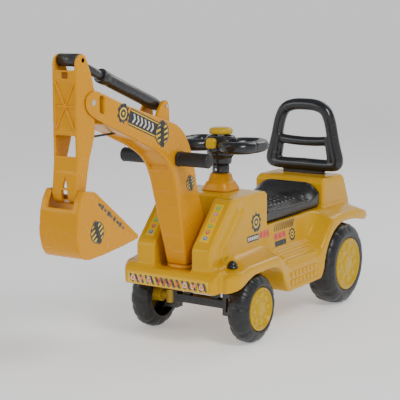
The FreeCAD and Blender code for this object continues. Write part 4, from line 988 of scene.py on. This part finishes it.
CROSS_PIN = Vector((0, -441, 569))
reach = (CROSS_PIN - EAR_PIN).length
barrel = along_bar("ram_barrel",
                   [(-11, 3), (-9, 8), (-4, 10.5), (8, 11.5), (14, 12.3), (160, 12.3), (164, 11.9),
                    (167, 13.4), (180, 13.4),
                                  (182, 12.6), (182.2, 8.4)], EAR_PIN, CROSS_PIN)
finish(barrel, BLACK, "tube", "black_plastic", "cylinder_tube")
rod = along_bar("ram_rod", [(100, 1), (100.2, 7.9), (reach - 11, 7.9), (reach - 10, 6)], EAR_PIN, CROSS_PIN)
finish(rod, BLACK, "piston", "black_plastic", "cylinder_rod")
eye = joined("ram_eye", [disc_solid(11, -21.5, 21.5, CROSS_PIN.y, CROSS_PIN.z, axis="x")])
finish(eye, BLACK, "piston", "black_plastic")

# ---- Handles ----
# Two rubber grips on a steel bar through the elbow, with a crank and a pull rod hidden inside.
# Each sleeve is a soft moulding with rings for the fingers, pushed over the bar from its end.
GRIP_RUBBER = plastic("grip_rubber", (0.008, 0.008, 0.009), roughness=0.5, clouding=0.3, grain=0.6, rub=0.05)
ELBOW = joint_place("handle_turn")
for side, word in ((1, "left"), (-1, "right")):
    low, high = in_mm("grip_" + word)
    near, far = sorted((abs(low[0]), abs(high[0])))
    profile = [(near, 6), (near, 15.5), (near + 3, 15.5), (near + 5, 13)]
    steps = 12
    for step in range(steps * 4 + 1):
        place = near + 7 + (far - near - 12) * step / (steps * 4)
        profile.append((place, 12.9 + 0.8 * abs(math.sin(math.pi * step / 4))))
    profile += [(far - 3, 14), (far - 0.8, 12.5), (far, 9), (far, 1)]
    rings = []
    for x, radius in profile:
        rings.append([(side * x, ELBOW.y + u, ELBOW.z + v) for u, v in circle(radius, 48)])
    grip = joined("grip_sleeve_" + word, [loft(rings)])
    settle(grip, "grip_" + word)
    finish(grip, GRIP_RUBBER, "handle", "black_grip", "grip_" + word)

# ---- Printed transfers ----
# Thin printed plastic films, stuck on and following the skin under them: hazard stripes, cogs,
# chevrons and plain round buttons.
INKS = {"black": (0.012, 0.012, 0.013), "yellow": (0.78, 0.50, 0.0), "red": (0.60, 0.02, 0.02),
        "green": (0.12, 0.40, 0.04),
        "blue": (0.02, 0.15, 0.42), "pink": (0.62, 0.16, 0.20), "lamp": (0.80, 0.20, 0.01),
        "white": (0.62, 0.60, 0.55)}
PRINTS = {ink: plastic("print_" + ink, color, roughness=0.22, clouding=0.1, scuffs=0.35, ripple=0.05)
          for ink, color in INKS.items()}
FILM = 0.3


def transfer(name, host, body, origin, across, upward_line, shapes):
    """A film of shapes, each (ink, outline), laid on a host's skin from outside."""
    hit = BVHTree.FromObject(host, bpy.context.evaluated_depsgraph_get())
    u, v = Vector(across).normalized(), Vector(upward_line).normalized()
    normal = u.cross(v)
    start = Vector(origin) * MM
    mesh = bpy.data.meshes.new(name)
    film = bmesh.new()
    used = []
    spans = []
    for ink, outline in shapes:
        low = [min(place[axis] for place in outline) for axis in (0, 1)]
        high = [max(place[axis] for place in outline) for axis in (0, 1)]
        under = [depth for first, last, depth in spans
                 if all(first[axis] < high[axis] and low[axis] < last[axis] for axis in (0, 1))]
        layer = max(under) + 1 if under else 0
        spans.append((low, high, layer))
        if ink not in used:
            used.append(ink)
        part = bmesh.new()
        part.faces.new([part.verts.new(start + (u * a + v * b) * MM) for a, b in outline])
        bmesh.ops.triangulate(part, faces=part.faces)
        while True:
            long = [edge for edge in part.edges if edge.calc_length() > 5 * MM]
            if not long:
                break
            bmesh.ops.subdivide_edges(part, edges=long, cuts=1)
            bmesh.ops.triangulate(part, faces=part.faces)
        lift = (FILM + 0.12 * layer) * MM
        places = []
        for corner in part.verts:
            met, _, _, _ = hit.ray_cast(corner.co + normal * 25 * MM, -normal, 60 * MM)
            places.append((met if met else corner.co) + normal * lift)
        verts = [film.verts.new(place) for place in places]
        part.verts.index_update()
        for face in part.faces:
            made = film.faces.new([verts[corner.index] for corner in face.verts])
            made.material_index = used.index(ink)
        part.free()
    film.normal_update()
    film.to_mesh(mesh)
    film.free()
    piece = bpy.data.objects.new(name, mesh)
    bpy.context.scene.collection.objects.link(piece)
    thick = piece.modifiers.new("film", "SOLIDIFY")
    thick.thickness = 0.35 * MM
    thick.offset = -1
    bake_down(piece)
    for ink in used:
        piece.data.materials.append(PRINTS[ink])
    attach(piece, body)


def oblong(u0, v0, u1, v1):
    """An upright rectangle between two corners."""
    return [(u0, v0), (u1, v0), (u1, v1), (u0, v1)]


def reach_box(side, first, last, low, high):
    """A rectangle between two distances towards one side."""
    ends = sorted((side * first, side * last))
    return oblong(ends[0], low, ends[1], high)


def turned(u, v, tilt, corners):
    """Corners turned about a place."""
    c, d = math.cos(tilt), math.sin(tilt)
    return [(u + a * c - b * d, v + a * d + b * c) for a, b in corners]


def facing(side, rise):
    """Across and up on a side face, for a line that climbs by a slope towards the front."""
    return (0, side, -side * rise), (0, rise, 1)


def dot(u, v, radius, sides=28):
    """A round spot."""
    return [(u + a, v + b) for a, b in circle(radius, sides)]


def cog(u, v, radius, teeth=9):
    """A toothed wheel's outline."""
    points = []
    for step in range(teeth * 4):
        reach = radius if step % 4 in (0, 1) else radius * 0.78
        angle = 2 * math.pi * (step + 0.5) / (teeth * 4)
        points.append((u + reach * math.cos(angle), v + reach * math.sin(angle)))
    return points


def emblem(u, v, radius):
    """A cog with a ring and a hub."""
    return [("black", cog(u, v, radius)), ("yellow", dot(u, v, radius * 0.6)),
            ("black", dot(u, v, radius * 0.42)),
            ("yellow", dot(u, v, radius * 0.18))]


def roundel(u, v, radius, tilt):
    """A yellow disc with black slanting stripes and one dark bar across."""
    shapes = [("black", dot(u, v, radius)), ("yellow", dot(u, v, radius * 0.9))]
    for line in (-0.62, -0.2, 0.22, 0.64):
        half = math.sqrt(1 - line * line) * radius * 0.86
        middle, wide = line * radius, radius * 0.11
        shapes.append(("black", turned(u, v, tilt, oblong(-half, middle - wide, half, middle + wide))))
    wide, tall = radius * 0.25, radius * 1.12
    shapes.append(("black", turned(u, v, 0.35, oblong(-wide, -tall, wide, tall))))
    return shapes


for side, word in ((1, "left"), (-1, "right")):
    # boom side: a cog, a dark band with two borders and chevrons, and a striped disc
    band = emblem(-4 * side, 0, 18)
    band += [("black", reach_box(side, 14, 118, -15, 15))]
    for edge in (-13, 11):
        band.append(("yellow", reach_box(side, 16, 116, edge, edge + 1.8)))
    for step in range(6):
        middle = side * (30 + step * 12)
        tip = side * 5
        band.append(("white",
                     [(middle, -8), (middle + tip, 0), (middle, 8), (middle - tip * 0.9, 8),
                      (middle + tip * 0.1, 0),
                               (middle - tip * 0.9, -8)]))
    band += roundel(side * 124, -2, 22, 0.6)
    across, climb = facing(side, 0.37)
    transfer("boom_band_" + word, boom_skin, "boom", (side * 30, -330, 471), across, climb,
             band)
    across, climb = facing(side, 0.0)
    transfer("boom_roundel_" + word, boom_skin, "boom", (side * 30, -119, 322), across, climb,
             roundel(0, 0, 14.5, 0.5))
    # bucket side: a striped disc and a row of bars along the mouth
    marks = roundel(0, 0, 19, 0.6)
    transfer("bucket_roundel_" + word, scoop, "bucket", (side * 44, -428, 278), across, climb,
             marks)
    across, climb = facing(side, 0.755)
    row = []
    for step in range(9):
        wide = 6.5 if step % 3 else 9.5
        tall = 4 if step % 2 else 2.4
        row.append(("black", reach_box(side, step * 10.5, step * 10.5 + wide, -tall, tall)))
    transfer("bucket_bars_" + word, scoop, "bucket", (side * 44, -424, 327), across, climb, row)
    # bonnet slope: a yellow strip of six round buttons
    strip = [("yellow", oblong(-10, 0, 10, 88))]
    for step, ink in enumerate(("blue", "red", "green", "lamp", "pink", "green")):
        strip += [(ink, dot(0, 9 + step * 14, 4.6)), ("white", dot(0, 9.8 + step * 14, 1.6))]
    transfer("button_strip_" + word, shell, "chassis", (side * 63, -126, 211), (1, 0, 0),
             (0, 75, 80), strip)
    # bonnet side: a cog, a dark plate with light bars, and red blocks
    across, climb = facing(side, 0.0)
    badge = emblem(0, 19, 20)
    for low, high in ((14, 25), (28, 39), (42, 50)):
        badge.append(("red", reach_box(side, low, high, -18, -3)))
    badge.append(("black", reach_box(side, -36, 10, -18, -5)))
    for step in range(6):
        badge.append(("white", reach_box(side, -33 + step * 7, -28 + step * 7, -15, -8)))
    transfer("bonnet_badge_" + word, shell, "chassis", (side * 88, 36, 208), across, climb,
             badge)
    # deck side: slanting hatch over a small badge
    hatch = []
    for step in range(10):
        base, lean_by = side * (-40 + step * 8.6), side * 9
        hatch.append(("black",
                      [(base, 7), (base + side * 3.4, 7), (base + side * 3.4 + lean_by, 23),
                       (base + lean_by, 23)]))
    hatch += emblem(side * 36, -9, 14)
    for step in range(3):
        hatch.append(("red", reach_box(side, -40 + step * 17, -26 + step * 17, -10, 3)))
    hatch.append(("black", reach_box(side, -40, 8, -24, -13)))
    transfer("deck_hatch_" + word, shell, "chassis", (side * 89, 146, 188), across, climb,
             hatch)

bumper_print = [("yellow", oblong(-93, -10, 93, 10))]
for step in range(15):
    base = -90 + step * 12.2
    bumper_print.append(("black", [(base, 8), (base + 5, 8), (min(base + 13, 92), -8), (base + 8, -8)]))
for step in (0, 1, 2):
    for side in (1, -1):
        centre = side * (80 - step * 19)
        bumper_print += [("lamp", dot(centre, 0, 7)), ("white", dot(centre, 0, 5.2)),
                         ("lamp", dot(centre, 0, 3.6))]
for step in range(4):
    middle = -24 + step * 14
    bumper_print.append(("red",
                         [(middle, -6), (middle + 6, 0), (middle, 6), (middle + 4, 6), (middle + 10, 0),
                          (middle + 4, -6)]))
transfer("bumper_stripes", shell, "chassis", (0, -160, 131), (1, 0, 0), (0, 0, 1),
         bumper_print)

# ---- Machined and small parts ----
# Pins, axles and screws in zinc-plated steel, and cranks and links in moulded plastic. They keep
# their exact shapes and only take their finishes.
ZINC = plastic("zinc_steel", (0.62, 0.62, 0.63), roughness=0.32, clouding=0.1, scuffs=0.4, metallic=1.0)
CAD_FINISH = {"steel": ZINC, "black_plastic": BLACK, "yellow_hub": HUB_YELLOW, "orange_arm": ORANGE}
slots = {part["node"]: part["material_slot"] for part in frame["record"]["subparts"]}
for node, piece in frame["nodes"].items():
    if slots[node] in CAD_FINISH:
        piece.data.materials.clear()
        piece.data.materials.append(CAD_FINISH[slots[node]])
